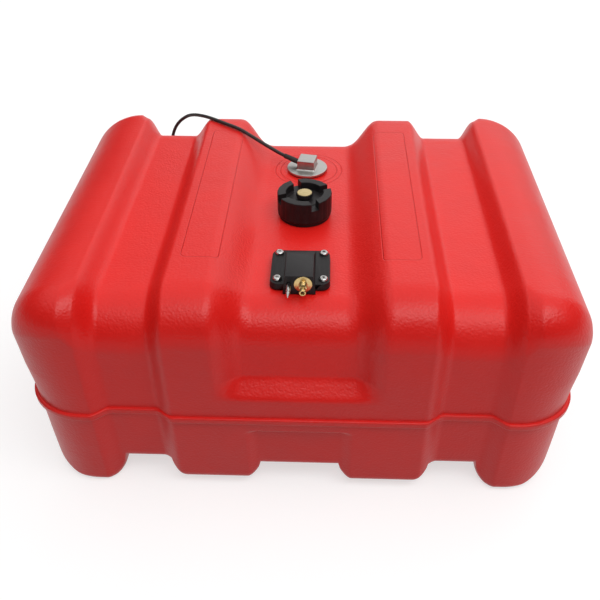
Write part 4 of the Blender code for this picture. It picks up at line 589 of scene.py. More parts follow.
def halfSection(at, inset, rows, withBead, face):
    top = tank["height"] - readKnots(knots["top"], at) - inset
    bottom = readFoot(at) + inset * tank["endFootRadius"] / tank["endRadius"]
    fullRadius = readKnots(knots["topRadius"], at)
    topRadius = fullRadius - (fullRadius - tank["leastRadius"]) * inset / tank["endRadius"]
    bottomRadius = max(tank["bottomRadius"] - inset, tank["leastRadius"])
    upperInset = readKnots(knots[face], at)
    lowerInset = readKnots(knots["lower"], at)
    skirtInset = readKnots(knots["skirt"], at)
    seam = tank["seamHeight"]
    skirtTop = seam - tank["skirtDrop"]
    upperSlope = math.tan(math.radians(tank["upperDraft"]))
    lowerSlope = math.tan(math.radians(tank["lowerDraft"]))
    leanRise = top - topRadius - seam - tank["ledgeRise"]

    def depth(height):
        away = abs(height - seam)
        if height >= seam:
            above = away - tank["ledgeRise"]
            share = (1 - tank["recessLean"]) * ramp(above / tank["ledgeHeight"], tank["ledgeSoft"])
            share += tank["recessLean"] * min(max(above / leanRise, 0.0), 1.0)
            drawnIn = lowerInset + (upperInset - lowerInset) * share + away * upperSlope
            cornerShare = tank["upperCorner"]
        else:
            share = eased((skirtTop - height) / tank["skirtEdge"])
            drawnIn = lowerInset + skirtInset * share + away * lowerSlope
            cornerShare = tank["lowerCorner"]
        corner = inset * (1 - (1 - cornerShare) * eased(away / tank["cornerChange"]))
        return back - drawnIn - corner

    points = [(0.0, bottom, 0.0)]
    arcBase = bottom + bottomRadius
    for angle in quarter(rows["foot"]):
        points.append((depth(arcBase) - bottomRadius * (1 - math.sin(angle)),
                       arcBase - bottomRadius * math.cos(angle), 0.0))
    skirtBase = skirtTop - tank["skirtEdge"]
    for step in range(1, rows["wall"]):
        height = arcBase + (skirtBase - arcBase) * step / rows["wall"]
        points.append((depth(height), height, 0.0))
    for step in range(rows["skirt"] + 1):
        height = skirtBase + tank["skirtEdge"] * step / rows["skirt"]
        points.append((depth(height), height, 0.0))
    beadBase = seam - tank["seamTall"]
    if withBead:
        edge = tank["seamEdge"]
        proud = tank["seamProud"]
        foot = tank["beadFoot"]
        crown = tank["beadCrown"]
        for t in quarter(rows["bead"]):
            height = beadBase - edge + edge * (1 - math.cos(t)) * tank["beadReach"]
            points.append((depth(height), height, proud * foot * math.sin(t) ** 2))
        for t in quarter(rows["bead"]):
            height = beadBase + edge * (1 - math.cos(t))
            points.append((depth(height), height, proud * (foot + (1 - foot) * math.sin(t))))
        for t in quarter(rows["bead"]):
            height = seam - edge + edge * math.sin(t)
            points.append((depth(seam - edge), height, proud * (crown + (1 - crown) * math.cos(t))))
        for t in quarter(rows["bead"]):
            height = seam + edge * (1 - math.cos(t)) * tank["beadReach"] + tank["beadStep"]
            points.append((depth(height), height, proud * crown * (1 - math.sin(t)) ** 2))
    else:
        points.append((depth(beadBase), beadBase, 0.0))
    arcTop = top - topRadius
    wallBase = seam + tank["beadClear"]
    ledgeBase = seam + tank["ledgeRise"]
    ledgeTop = min(ledgeBase + tank["ledgeHeight"], arcTop - tank["leastRadius"] / 2)
    for step in range(1, rows["wall"]):
        height = wallBase + (ledgeBase - wallBase) * step / rows["wall"]
        points.append((depth(height), height, 0.0))
    for step in range(rows["ledge"] + 1):
        height = ledgeBase + (ledgeTop - ledgeBase) * step / rows["ledge"]
        points.append((depth(height), height, 0.0))
    for angle in quarter(rows["arc"]):
        points.append((depth(arcTop) - topRadius * (1 - math.cos(angle)),
                       arcTop + topRadius * math.sin(angle), 0.0))
    flat = points[-1][0]
    for step in range(1, rows["deck"] + 1):
        points.append((flat * (1 - step / rows["deck"]), top, 0.0))
    return points


def endLean(height):
    draft = tank["upperEndDraft"] if height >= tank["seamHeight"] else tank["lowerEndDraft"]
    return abs(height - tank["seamHeight"]) * math.tan(math.radians(draft))


def tankSurface(stations, rows, withBead):
    work = bmesh.new()
    rings = []
    for at, inset in stations:
        front = halfSection(at, inset, rows, withBead, "front")
        rear = halfSection(at, inset, rows, withBead, "back")
        outward = math.copysign(eased((abs(at) - endStart) / tank["endRadius"]), at)
        ring = []
        for side, points in ((-1, front), (1, rear[-2:0:-1])):
            for depth, height, proud in points:
                x = at + outward * (proud - endLean(height))
                ring.append(work.verts.new((x, side * (depth + proud), height)))
        rings.append(ring)
    count = len(rings[0])
    for ring, following in zip(rings, rings[1:]):
        for i in range(count):
            j = (i + 1) % count
            work.faces.new((ring[i], following[i], following[j], ring[j]))
    halfCount = count // 2
    deckRows = rows["deck"]
    for ring in (rings[0], rings[-1]):
        work.faces.new((ring[0], ring[1], ring[2], ring[-2], ring[-1]))
        topFace = [ring[halfCount - k] for k in range(deckRows + 2)]
        topFace += [ring[halfCount + k] for k in range(deckRows + 1, 0, -1)]
        work.faces.new(topFace)
        for i in range(2, halfCount - deckRows - 1):
            work.faces.new((ring[i], ring[i + 1], ring[-i - 1], ring[-i]))
    bmesh.ops.recalc_face_normals(work, faces=work.faces)
    return work


def screwSpots():
    half = pickup["screwPitch"] / 2
    return [(side * half, pickup["y"] + row * half) for side in (-1, 1) for row in (-1, 1)]


def buildTank():
    rows = {"foot": 6, "wall": 4, "skirt": 6, "bead": 3, "ledge": 12, "arc": 16, "deck": 8}
    stations = tankStations(slopeSteps=14, flatSteps=4, endSteps=20, spacing=0.0012)
    outer = addObject("tankBody", closeMesh("tankBody", tankSurface(stations, rows, True)), mats["tank"], 60)
    innerRows = {"foot": 3, "wall": 2, "skirt": 2, "bead": 1, "ledge": 3, "arc": 5, "deck": 1}
    innerStations = tankStations(slopeSteps=4, flatSteps=1, endSteps=6, spacing=0.004)
    inner = tankSurface(innerStations, innerRows, False)
    inner.normal_update()
    shifts = [vert.normal * tank["wall"] * vert.calc_shell_factor() for vert in inner.verts]
    for vert, shift in zip(inner.verts, shifts):
        vert.co -= shift
    combine(outer, closeMesh("inner", inner), "DIFFERENCE")
    above = deckTop + neck["height"] + overrun
    below = deckTop - tank["wall"] - overrun
    holes = [
        cylinderMesh("hole", neck["bore"], below, above, 64, (0.0, neck["y"])),
        cylinderMesh("hole", pickup["holeRadius"], below, above, 40, (0.0, pickup["y"])),
        cylinderMesh("hole", socketRing["bore"], below, above, 56, (0.0, sender["y"])),
    ]
    holes += [cylinderMesh("hole", boss["hole"], below, above, 24, spot) for spot in screwSpots()]
    combine(outer, joined("holes", holes), "DIFFERENCE")
    settle(outer, 48)
    steadyNormals(outer, 50)
    oneMaterial(outer.data, mats["tank"])
    place(outer, "tank", "tank_plastic", "tank_shell")
    buildNeck()
    buildBosses()


def buildNeck():
    root = neck["radius"] + neck["rootWidth"]
    edge = neck["edge"]
    collar = [(neck["bore"], -tank["wall"]), (root, -tank["wall"]), (root, -neck["rootDrop"])]
    for angle in quarter(4):
        collar.append((neck["radius"] + neck["fillet"] * (1 - math.sin(angle)),
                       neck["fillet"] * (1 - math.cos(angle))))
    collar += [(neck["radius"], neck["height"] - edge), (neck["radius"] - edge, neck["height"]),
               (neck["bore"] + edge, neck["height"]), (neck["bore"], neck["height"] - edge)]
    spot = Matrix.Translation((0.0, neck["y"], deckTop))
    collarPiece = addObject("tankNeck", moved(turned("tankNeck", collar, 72), spot), mats["tank"])
    place(collarPiece, "tank", "tank_plastic")
    threadEnd = neck["height"] - neck["threadStop"]
    ridge = helixRidge("neckThread", neck["radius"], neck["threadStart"], threadEnd,
                       neck["threadLead"], neck["threadProud"], neck["threadWidth"])
    place(addObject("neckThread", moved(ridge, spot), mats["tank"], 60), "tank", "tank_plastic")


def buildBosses():
    bore = boss["bore"] + gap
    wide = boss["radius"]
    profile = [(bore, -boss["pocket"]), (bore, -boss["seat"]), (wide, -boss["shoulder"]),
               (wide, boss["edge"] - boss["depth"]), (wide - boss["edge"], -boss["depth"]),
               (0.0, -boss["depth"]), (0.0, -boss["pocket"])]
    spots = [Matrix.Translation((x, y, deckTop)) for x, y in screwSpots()]
    bosses = [moved(turned("boss", profile, 24), spot) for spot in spots]
    ring = socketRing
    profile = [(ring["bore"], -ring["seat"]), (ring["bore"], -ring["step"]), (ring["lip"], -ring["step"]),
               (ring["lip"], -ring["depth"]), (ring["radius"] - ring["edge"], -ring["depth"]),
               (ring["radius"], ring["edge"] - ring["depth"]), (ring["radius"], -ring["seat"])]
    bosses.append(moved(turned("boss", profile, 56), Matrix.Translation((0.0, sender["y"], deckTop))))
    bossPiece = addObject("tankBosses", joined("tankBosses", bosses), mats["tank"])
    place(bossPiece, "tank", "tank_plastic")


# Filler cap and vent

cap = {
    "boreRadius": 0.0262, "radiusTop": 0.0318, "radiusBase": 0.0322, "footGap": 0.0004, "height": 0.0310,
    "edge": 0.0009, "rimInner": 0.0219, "rimDraft": 0.0004, "ceiling": 0.0186, "floor": 0.0218,
    "stepRadius": 0.0196, "stepHeight": 0.0008, "flutes": 20, "fluteDepth": 0.0004, "notches": 4,
    "notchWidth": 0.0094, "notchAngle": 25, "notchEdge": 0.0005, "skirtHeight": 0.0036,
    "skirtStep": 0.0021, "skirtEase": 0.0003, "skirtRise": 0.0016, "threadStart": 0.0030,
    "threadEnd": 0.0150, "threadProud": -0.0004, "threadWidth": 0.0018,
}
vent = {
    "bossRadius": 0.0075, "bossHeight": 0.0010, "bossFlare": 0.0006, "sealThickness": 0.0009,
    "sealInner": 0.0036, "sealEdge": 0.0002, "knobRadius": 0.0096, "knobHeight": 0.0043,
    "knobFloor": 0.0018, "knobFlare": 0.0005, "knobEdge": 0.0003, "knobFlutes": 12, "fluteDepth": 0.0004,
    "headRadius": 0.0086, "headProud": 0.0008, "edge": 0.0004, "shankRadius": 0.0030, "shankBelow": 0.0008,
}


def rippled(mesh, lowRadius, count, depth, lowHeight=-1.0, sharpness=1.0):
    for vert in mesh.vertices:
        radius = math.hypot(vert.co.x, vert.co.y)
        if radius < lowRadius or vert.co.z < lowHeight:
            continue
        wave = 0.5 - 0.5 * math.cos(count * math.atan2(vert.co.y, vert.co.x))
        scale = 1.0 - depth * wave ** sharpness / radius
        vert.co.x *= scale
        vert.co.y *= scale
    return mesh


def buildCap():
    centre = Matrix.Translation((0.0, neck["y"], deckTop))
    base = cap["footGap"]
    top = cap["height"]
    floor = cap["floor"]
    foot = cap["radiusBase"] - cap["skirtStep"]
    skirt = base + cap["skirtHeight"]
    stepTop = floor + cap["stepHeight"]
    bossTop = stepTop + vent["bossHeight"]
    hole = vent["shankRadius"] + gap
    profile = [
        (cap["boreRadius"], base), (foot, base), (foot, skirt),
        (cap["radiusBase"] - cap["skirtEase"], skirt + cap["skirtRise"]), (cap["radiusTop"], top),
        (cap["rimInner"], top), (cap["rimInner"] - cap["rimDraft"], floor), (cap["stepRadius"], floor),
        (cap["stepRadius"] - cap["stepHeight"], stepTop), (vent["bossRadius"] + vent["bossFlare"], stepTop),
        (vent["bossRadius"], bossTop), (hole, bossTop), (hole, cap["ceiling"]),
        (cap["boreRadius"], cap["ceiling"]),
    ]
    mesh = turned("capBody", profile, cap["flutes"] * 12, edge=cap["edge"])
    rippled(mesh, (cap["rimInner"] + cap["radiusTop"]) / 2, cap["flutes"], cap["fluteDepth"], skirt, 3.0)
    body = addObject("capBody", moved(mesh, centre), mats["capBlack"])
    start = (cap["rimInner"] + cap["stepRadius"]) / 2
    half = cap["notchWidth"] / 2
    notches = []
    for index in range(cap["notches"]):
        notch = boxMesh("notch", (start, -half, floor), (cap["radiusBase"] + overrun, half, top + overrun))
        turn = Matrix.Rotation(math.radians(cap["notchAngle"] + 360 * index / cap["notches"]), 4, "Z")
        notches.append(moved(notch, centre @ turn))
    combine(body, joined("notches", notches), "DIFFERENCE")
    roundEdges(body, cap["notchEdge"], 2, 50, 40)
    place(body, "cap", "black_plastic", "filler_cap")
    thread = helixRidge("capThread", cap["boreRadius"], cap["threadStart"], cap["threadEnd"],
                        neck["threadLead"], cap["threadProud"], cap["threadWidth"])
    place(addObject("capThread", moved(thread, centre), mats["capBlack"], 60), "cap", "black_plastic")
    buildVent(centre, hole, bossTop + gap)


def buildVent(centre, hole, sealBase):
    sealTop = sealBase + vent["sealThickness"]
    knobBase = sealTop + gap
    knobTop = knobBase + vent["knobHeight"]
    knobFloor = knobBase + vent["knobFloor"]
    pocket = vent["headRadius"] + gap
    seal = turned("ventSeal", [(vent["sealInner"], sealBase), (vent["bossRadius"], sealBase),
                               (vent["bossRadius"], sealTop), (vent["sealInner"], sealTop)],
                  64, edge=vent["sealEdge"])
    sealPiece = addObject("ventSeal", moved(seal, centre), mats["rubber"])
    place(sealPiece, "vent_lift", "black_rubber", "vent_seal")
    knob = turned("ventKnob", [(hole, knobBase), (vent["knobRadius"] + vent["knobFlare"], knobBase),
                               (vent["knobRadius"], knobTop),
                               (pocket, knobTop), (pocket, knobFloor), (hole, knobFloor)],
                  vent["knobFlutes"] * 12, edge=vent["knobEdge"])
    rippled(knob, (vent["knobRadius"] + pocket) / 2, vent["knobFlutes"], vent["fluteDepth"])
    place(addObject("ventKnob", moved(knob, centre), mats["capBlack"]), "vent", "black_plastic", "vent_knob")
    headBase = knobFloor + gap
    headTop = knobTop + vent["headProud"]
    shankEnd = cap["ceiling"] - vent["shankBelow"]
    profile = [(0.0, shankEnd), (vent["shankRadius"], shankEnd), (vent["shankRadius"], headBase),
               (vent["headRadius"], headBase), (vent["headRadius"], headTop), (0.0, headTop)]
    ventScrew = turned("ventScrew", profile, 96, closed=False, edge=vent["edge"])
    place(addObject("ventScrew", moved(ventScrew, centre), mats["ventBrass"]), "vent", "brass", "vent_screw")


# Pickup housing and what is on it

pickup = {
    "y": -0.131, "plateWidth": 0.0634, "plateDepth": 0.0615, "plateThick": 0.0070, "corner": 0.0088,
    "plateFront": 0.0026, "plateShift": -0.0005, "plateDraft": 0.0006, "gasketThick": 0.0012,
    "screwPitch": 0.0480, "edge": 0.0011, "blockWidth": 0.0342, "blockTaper": 0.0026,
    "blockShift": -0.0008, "blockHeight": 0.0230, "blockReach": 0.0390, "topLength": 0.0400,
    "blockLift": 0.0007, "blockInset": 0.0012, "blockSink": 0.0001, "holeRadius": 0.0095,
    "spigotRadius": 0.0040, "collarRadius": 0.0088, "spigotLength": 0.0220, "spigotBore": 0.0026,
    "tubeOverlap": 0.0140, "draftHalf": 0.031,
}
screw = {
    "radius": 0.0025, "length": 0.0160, "headRadius": 0.0048, "headHeight": 0.0030, "headRim": 0.0008,
    "domeRadius": 0.0024, "socketRadius": 0.001904, "socketDepth": 0.0016, "pitch": 0.0008,
    "threadDepth": 0.0003, "threadWidth": 0.0006, "threadStart": 0.001, "threadStop": 0.0045,
    "tip": 0.0006, "tipRise": 0.0007, "turn": 23,
}
nipple = {
    "x": 0.0034, "height": 0.0133, "flangeRadius": 0.0094, "flangeThick": 0.0016, "flangeProud": 0.0006,
    "bodyRadius": 0.0052, "bodyLength": 0.0160, "rootRadius": 0.0043, "rootLength": 0.0075,
    "ridges": 3, "ridgeDepth": 0.0005, "ridgeReach": 0.0006, "waistRadius": 0.0028,
    "waistLength": 0.0040, "tipRadius": 0.0037, "tipLength": 0.0035, "edge": 0.0005, "softEdge": 0.00018,
    "boreRadius": 0.0019, "boreEdge": 0.0003, "chamberRadius": 0.0029, "chamberStart": 0.0050,
    "crossRadius": 0.0008, "sealInset": 0.0060, "sealThick": 0.0011, "passage": 0.0020,
    "rootEase": 0.0002,
}
pin = {
    "x": -0.0114, "radius": 0.0023, "length": 0.0230, "tipLength": 0.0060, "tipRadius": 0.0004,
    "grooveRadius": 0.0017, "grooveWidth": 0.0016, "grooveInset": 0.0100, "socket": 0.0080,
    "edge": 0.00025,
}


def buildPickup():
    base = deckTop + gap + pickup["gasketThick"] + gap
    plateTop = base + pickup["plateThick"]
    front = pickup["y"] - pickup["blockReach"]
    outline = roundedOutline(pickup["plateWidth"], pickup["plateDepth"] + pickup["plateFront"],
                             pickup["corner"], 10)
    plate = moved(prism("pickupHousing", outline, pickup["plateThick"]),
                  Matrix.Translation((pickup["plateShift"], pickup["y"] - pickup["plateFront"] / 2, base)))
    shrink = 1 - pickup["plateDraft"] / pickup["draftHalf"]
    for vert in plate.vertices:
        if vert.co.z > base + gap:
            vert.co.x *= shrink
            vert.co.y = pickup["y"] + (vert.co.y - pickup["y"]) * shrink
    housing = addObject("pickupHousing", plate, mats["black"])
    combine(housing, makeBlock(base, plateTop, front), "UNION")
    roundEdges(housing, pickup["edge"], 3, 30, 30)
    spigotEnd = base - pickup["spigotLength"]
    tubeTop = spigotEnd + pickup["tubeOverlap"] + gap
    spigot = turned("spigot", [(0.0, spigotEnd), (pickup["spigotRadius"], spigotEnd),
                               (pickup["spigotRadius"], tubeTop), (pickup["collarRadius"], tubeTop),
                               (pickup["collarRadius"], base + gap), (0.0, base + gap)], 40, closed=False)
    combine(housing, moved(spigot, Matrix.Translation((0.0, pickup["y"], 0.0))), "UNION")
    nippleZ = deckTop + nipple["height"]
    nippleSpot = toward((0.0, -1.0, 0.0), (nipple["x"], front, nippleZ))
    pinSpot = toward((0.0, -1.0, 0.0), (pin["x"], front, nippleZ))
    bodyEnd = -nipple["bodyLength"] - gap
    seat = -(nipple["flangeThick"] - nipple["flangeProud"] + gap)
    bodyHole = nipple["bodyRadius"] + gap
    flangeHole = nipple["flangeRadius"] + gap
    inner = -pickup["blockReach"]
    bore = turned("bore", [
        (0.0, inner), (nipple["passage"], inner), (nipple["passage"], bodyEnd),
        (bodyHole, bodyEnd), (bodyHole, seat), (flangeHole, seat), (flangeHole, overrun), (0.0, overrun)],
        56, closed=False)
    pinHole = cylinderMesh("pinHole", pin["radius"] + gap, -pin["socket"] - gap, overrun, 28)
    holes = [
        moved(bore, nippleSpot),
        cylinderMesh("riser", pickup["spigotBore"], spigotEnd - overrun, nippleZ, 24, (0.0, pickup["y"])),
        moved(pinHole, pinSpot),
    ]
    low = base - overrun
    high = plateTop + overrun
    holes += [cylinderMesh("hole", screw["radius"] + gap, low, high, 24, spot) for spot in screwSpots()]
    for hole in holes:
        combine(housing, hole, "DIFFERENCE")
    settle(housing, 32)
    oneMaterial(housing.data, mats["black"])
    place(housing, "tank", "black_plastic", "pickup_housing")
    buildScrews(plateTop + gap)
    buildNipple(nippleSpot)
    buildPin(pinSpot)


def makeBlock(base, plateTop, front):
    blockBase = deckTop + pickup["blockLift"]
    blockTop = deckTop + pickup["blockHeight"]
    plateFront = pickup["y"] - pickup["plateDepth"] / 2 - pickup["plateFront"] - gap
    plateBack = pickup["y"] + pickup["plateDepth"] / 2 - pickup["blockInset"]
    side = [(front, blockBase), (plateFront, blockBase), (plateFront, base + gap), (plateBack, base + gap),
            (plateBack, plateTop - pickup["blockSink"]), (front + pickup["topLength"], blockTop),
            (front, blockTop)]
    upright = Matrix(((0, 0, 1, 0), (1, 0, 0, 0), (0, 1, 0, 0), (0, 0, 0, 1)))  # outline x, y to y, z
    stand = Matrix.Translation((-pickup["blockWidth"] / 2, 0.0, 0.0)) @ upright
    block = moved(prism("block", side, pickup["blockWidth"]), stand)
    for vert in block.vertices:
        rise = max(vert.co.z - blockBase, 0.0) / (blockTop - blockBase)
        vert.co.x += pickup["blockShift"] - math.copysign(pickup["blockTaper"] * rise, vert.co.x)
    return block


def buildScrews(headBase):
    headTop = headBase + screw["headHeight"]
    shankEnd = headBase - screw["length"]
    root = screw["radius"] - screw["threadDepth"]
    rim = screw["headRim"]
    dome = []
    for angle in quarter(8):
        radius = screw["headRadius"] - (screw["headRadius"] - screw["domeRadius"]) * (1 - math.cos(angle))
        dome.append((radius, headBase + rim + (screw["headHeight"] - rim) * math.sin(angle)))
    profile = [(0.0, shankEnd), (screw["radius"] - screw["tip"], shankEnd),
               (root, shankEnd + screw["tipRise"]), (root, headBase), (screw["headRadius"], headBase), *dome,
               (0.0, headTop)]
    hexagon = []
    for corner in range(6):
        angle = math.radians(60 * corner)
        hexagon.append((screw["socketRadius"] * math.cos(angle), screw["socketRadius"] * math.sin(angle)))
    intoHead = Matrix.Translation((0.0, 0.0, headTop - screw["socketDepth"]))
    ordered = sorted(screwSpots(), key=lambda at: (-at[1], at[0]))  # back row first, from the left
    for number, (x, y) in enumerate(ordered, 1):
        spot = Matrix.Translation((x, y, 0.0))
        turn = Matrix.Rotation(math.radians(screw["turn"] * number), 4, "Z")
        mesh = moved(turned("screw", profile, 48, closed=False), spot @ turn)
        piece = addObject(f"pickupScrew{number}", mesh, mats["steel"], 40)
        combine(piece, moved(prism("socket", hexagon, overrun), spot @ turn @ intoHead), "DIFFERENCE")
        settle(piece, 40)
        place(piece, "tank", "stainless", f"pickup_screw_{number}")
        ridge = helixRidge("thread", root, shankEnd + screw["threadStart"], headBase - screw["threadStop"],
                           screw["pitch"], screw["threadDepth"], screw["threadWidth"], 20)
        place(addObject(f"screwThread{number}", moved(ridge, spot), mats["steel"], 60), "tank", "stainless")


def buildNipple(nippleSpot):
    front = nipple["flangeProud"]
    flangeBack = front - nipple["flangeThick"]
    sealBack = -nipple["sealInset"] - nipple["sealThick"]
    groove = nipple["bodyRadius"] - nipple["sealThick"]
    root = nipple["rootRadius"]
    rootEnd = front + nipple["rootLength"]
    waistEnd = rootEnd + nipple["waistLength"]
    tipEnd = waistEnd + nipple["tipLength"]
    edge = nipple["edge"]
    boreEdge = nipple["boreEdge"]
    reach = nipple["ridgeReach"]
    rings = []
    for index in range(nipple["ridges"]):
        middle = front + nipple["rootLength"] * (index + 1) / (nipple["ridges"] + 1)
        for away, cut in ((-reach, 0.0), (-reach / 2, 1.0), (reach / 2, 1.0), (reach, 0.0)):
            rings.append((root - cut * nipple["ridgeDepth"], middle + away))
    sealFront = -nipple["sealInset"] + gap
    body = nipple["bodyRadius"]
    profile = [
        (nipple["chamberRadius"], -nipple["bodyLength"]), (body, -nipple["bodyLength"]),
        (body, sealBack - gap), (groove, sealBack - gap), (groove, sealFront), (body, sealFront),
        (body, flangeBack), (nipple["flangeRadius"], flangeBack), (nipple["flangeRadius"], front),
        (root + nipple["rootEase"], front), (root, front + 2 * nipple["rootEase"]), *rings,
        (root, rootEnd - edge),
        (nipple["waistRadius"], rootEnd), (nipple["waistRadius"], waistEnd),
        (nipple["tipRadius"], waistEnd + edge), (nipple["tipRadius"], tipEnd - edge),
        (nipple["tipRadius"] - edge, tipEnd), (nipple["boreRadius"] + boreEdge, tipEnd),
        (nipple["boreRadius"], tipEnd - boreEdge), (nipple["boreRadius"], nipple["chamberStart"]),
        (nipple["chamberRadius"], nipple["chamberStart"]),
    ]
    mesh = turned("fuelNipple", profile, 72, edge=nipple["softEdge"], edgeSteps=2)
    piece = addObject("fuelNipple", moved(mesh, nippleSpot), mats["brass"])
    across = cylinderMesh("cross", nipple["crossRadius"], 0.0, nipple["tipRadius"], 20)
    waist = nippleSpot @ Matrix.Translation((0.0, 0.0, (rootEnd + waistEnd) / 2))
    combine(piece, moved(across, Matrix.Translation(waist.translation)), "DIFFERENCE")
    settle(piece, 35)
    place(piece, "tank", "brass", "fuel_nipple")


def buildPin(pinSpot):
    grooveFront = pin["length"] - pin["grooveInset"] + pin["grooveWidth"] / 2
    grooveBack = grooveFront - pin["grooveWidth"]
    ease = (pin["radius"] - pin["grooveRadius"]) / 2
    profile = [(0.0, -pin["socket"]), (pin["radius"], -pin["socket"]), (pin["radius"], grooveBack - ease),
               (pin["grooveRadius"], grooveBack), (pin["grooveRadius"], grooveFront),
               (pin["radius"], grooveFront + ease), (pin["radius"], pin["length"] - pin["tipLength"]),
               (pin["tipRadius"], pin["length"]), (0.0, pin["length"])]
    mesh = turned("locatingPin", profile, 56, closed=False, edge=pin["edge"])
    place(addObject("locatingPin", moved(mesh, pinSpot), mats["steel"]), "tank", "stainless", "locating_pin")


# Level sender

sender = {
    "y": 0.1016, "gasketThick": 0.0010, "discRadius": 0.0257, "discThick": 0.0030, "edge": 0.0005,
    "headWidth": 0.0220, "headTop": 0.0170, "headEdge": 0.0011, "headSink": 0.0008, "headFillet": 0.0028,
    "filletCorner": 0.0012, "filletSink": 0.0001, "turn": -11, "shankRadius": 0.0190,
    "shankLength": 0.0110, "socketDepth": 0.0080, "stemRadius": 0.0050, "bootHeight": 0.0100,
}
cable = {
    "radius": 0.0023, "bootRadius": 0.0034, "bootTip": 0.0030, "bootSocket": 0.0040, "bootEase": 0.0002,
    "bootEdge": 0.0005, "perSpan": 24, "places": 160,
}


def headTurned():
    turn = Matrix.Rotation(math.radians(sender["turn"]), 4, "Z")
    return Matrix.Translation((0.0, sender["y"], 0.0)) @ turn


def cableFace():
    return headTurned() @ Vector((-sender["headWidth"] / 2, 0.0, deckTop + sender["bootHeight"]))


def buildSender():
    discBase = deckTop + gap + sender["gasketThick"] + gap
    discTop = discBase + sender["discThick"]
    shankEnd = discBase - sender["shankLength"]
    socketTop = shankEnd + sender["socketDepth"]
    socket = sender["stemRadius"] + gap
    profile = [(0.0, socketTop), (socket, socketTop), (socket, shankEnd), (sender["shankRadius"], shankEnd),
               (sender["shankRadius"], discBase), (sender["discRadius"], discBase),
               (sender["discRadius"], discTop), (0.0, discTop)]
    discMesh = turned("senderPlug", profile, 112, closed=False, edge=sender["edge"])
    discMesh.transform(Matrix.Translation((0.0, sender["y"], 0.0)))
    disc = addObject("senderPlug", discMesh, mats["zinc"], 30)
    half = sender["headWidth"] / 2
    block = boxMesh("head", (-half, -half, discTop - sender["headSink"]),
                    (half, half, deckTop + sender["headTop"]))
    head = addObject("senderHead", moved(block, headTurned()), mats["zinc"])
    roundEdges(head, sender["headEdge"], 4, 35, 50)
    face = cableFace()
    way = (Vector(cableRoute[0]) - face).normalized()
    socketMesh = cylinderMesh("socket", cable["bootRadius"] + gap, -cable["bootSocket"] - gap, half, 32)
    combine(head, moved(socketMesh, toward(way, face)), "DIFFERENCE")
    settle(head, 35)
    place(disc, "tank", "zinc_plate", "sender_plug")
    place(head, "tank", "zinc_plate")
    foot = flare("foot", sender["headWidth"], sender["filletCorner"], sender["headFillet"], 6)
    onDisc = Matrix.Translation((0.0, 0.0, discTop - sender["filletSink"]))
    footPiece = addObject("senderHeadFillet", moved(foot, headTurned() @ onDisc), mats["zinc"], 60)
    place(footPiece, "tank", "zinc_plate")

    reach = (Vector(cableRoute[0]) - face).length - gap
    bootRadius = cable["bootRadius"]
    profile = [(0.0, -cable["bootSocket"]), (bootRadius, -cable["bootSocket"]), (bootRadius, reach * 0.45),
               (bootRadius - cable["bootEase"], reach * 0.6), (cable["bootTip"], reach), (0.0, reach)]
    boot = moved(turned("cableBoot", profile, 48, closed=False, edge=cable["bootEdge"]), toward(way, face))
    place(addObject("cableBoot", boot, mats["rubber"]), "tank", "black_rubber", "cable_boot")


# Cable, coil and plug: places along the cable are listed, its coil is worked out

overDeck = [
    (-0.0300, 0.1130, 0.0144), (-0.0450, 0.1245, 0.0170), (-0.0607, 0.1362, 0.0208),
    (-0.0765, 0.1470, 0.0256), (-0.0928, 0.1570, 0.0305), (-0.1130, 0.1728, 0.0307),
    (-0.1349, 0.1908, 0.0301), (-0.1505, 0.2065, 0.0265), (-0.1645, 0.2220, 0.0205),
    (-0.1757, 0.2320, 0.0135), (-0.1868, 0.2370, 0.0040),
]
downWall = [
    (-0.1955, 0.0112, 0.867), (-0.2010, 0.0117, 0.804), (-0.2030, 0.0122, 0.683),
    (-0.2015, 0.0127, 0.517), (-0.1985, 0.0142, 0.332), (-0.1955, 0.0172, 0.185),
]
onFloor = [(-0.1915, 0.0242, 0.0210), (-0.1810, 0.0372, 0.0055), (-0.1640, 0.0527, 0.0031)]
cableRoute = [(x, y, deckTop + rise) for x, y, rise in overDeck]
cableRoute += [(x, back + out, tank["height"] * share) for x, out, share in downWall]
cableRoute += [(x, back + out, z) for x, out, z in onFloor]
coil = {"x": -0.105, "y": back + 0.0542, "turns": 2.75, "inner": 0.0195, "pitch": 0.0053, "layer": 0.0053,
        "perTurn": 24, "start": 127, "tailShare": 0.25, "tailSpread": 0.0090, "height": 0.0039}
plug = {
    "length": 0.0240, "width": 0.0120, "height": 0.0100, "edge": 0.0008, "mouth": 0.0100, "wall": 0.0014,
    "bootLength": 0.0090, "bootRadius": 0.0038, "bootSeat": 0.0020, "bootEdge": 0.0002,
    "contactRadius": 0.0014, "contactPlace": 0.0022, "contactDepth": 0.0033,
    "ribShare": 0.6, "ribHalf": 0.0007, "ribProud": 0.0001, "ribStart": 0.002, "ribEnd": 0.011,
}


def coilPlaces():
    perTurn = coil["perTurn"]
    spiral = round(coil["turns"] * perTurn)
    climb = perTurn // 2
    tail = round(perTurn * coil["tailShare"])
    middle = spiral + climb / 2
    total = 2 * spiral + climb
    axisHeight = plug["height"] / 2 + gap
    places = []
    for index in range(total + tail + 1):
        angle = math.radians(coil["start"]) - math.tau * index / perTurn
        radius = coil["inner"] + coil["pitch"] * abs(index - middle) / perTurn
        height = coil["height"] + coil["layer"] * eased((index - spiral) / climb)
        if index > total:
            share = eased((index - total) / tail)
            radius += coil["tailSpread"] * share
            height += (axisHeight - height) * share
        places.append(Vector((coil["x"] + radius * math.cos(angle), coil["y"] + radius * math.sin(angle),
                              height)))
    first = (places[0] - places[1]).normalized() * 2 * cable["radius"]
    last = (places[-1] - places[-2]).normalized() * 2 * cable["radius"]
    return [places[0] + first] + places + [places[-1] + last]


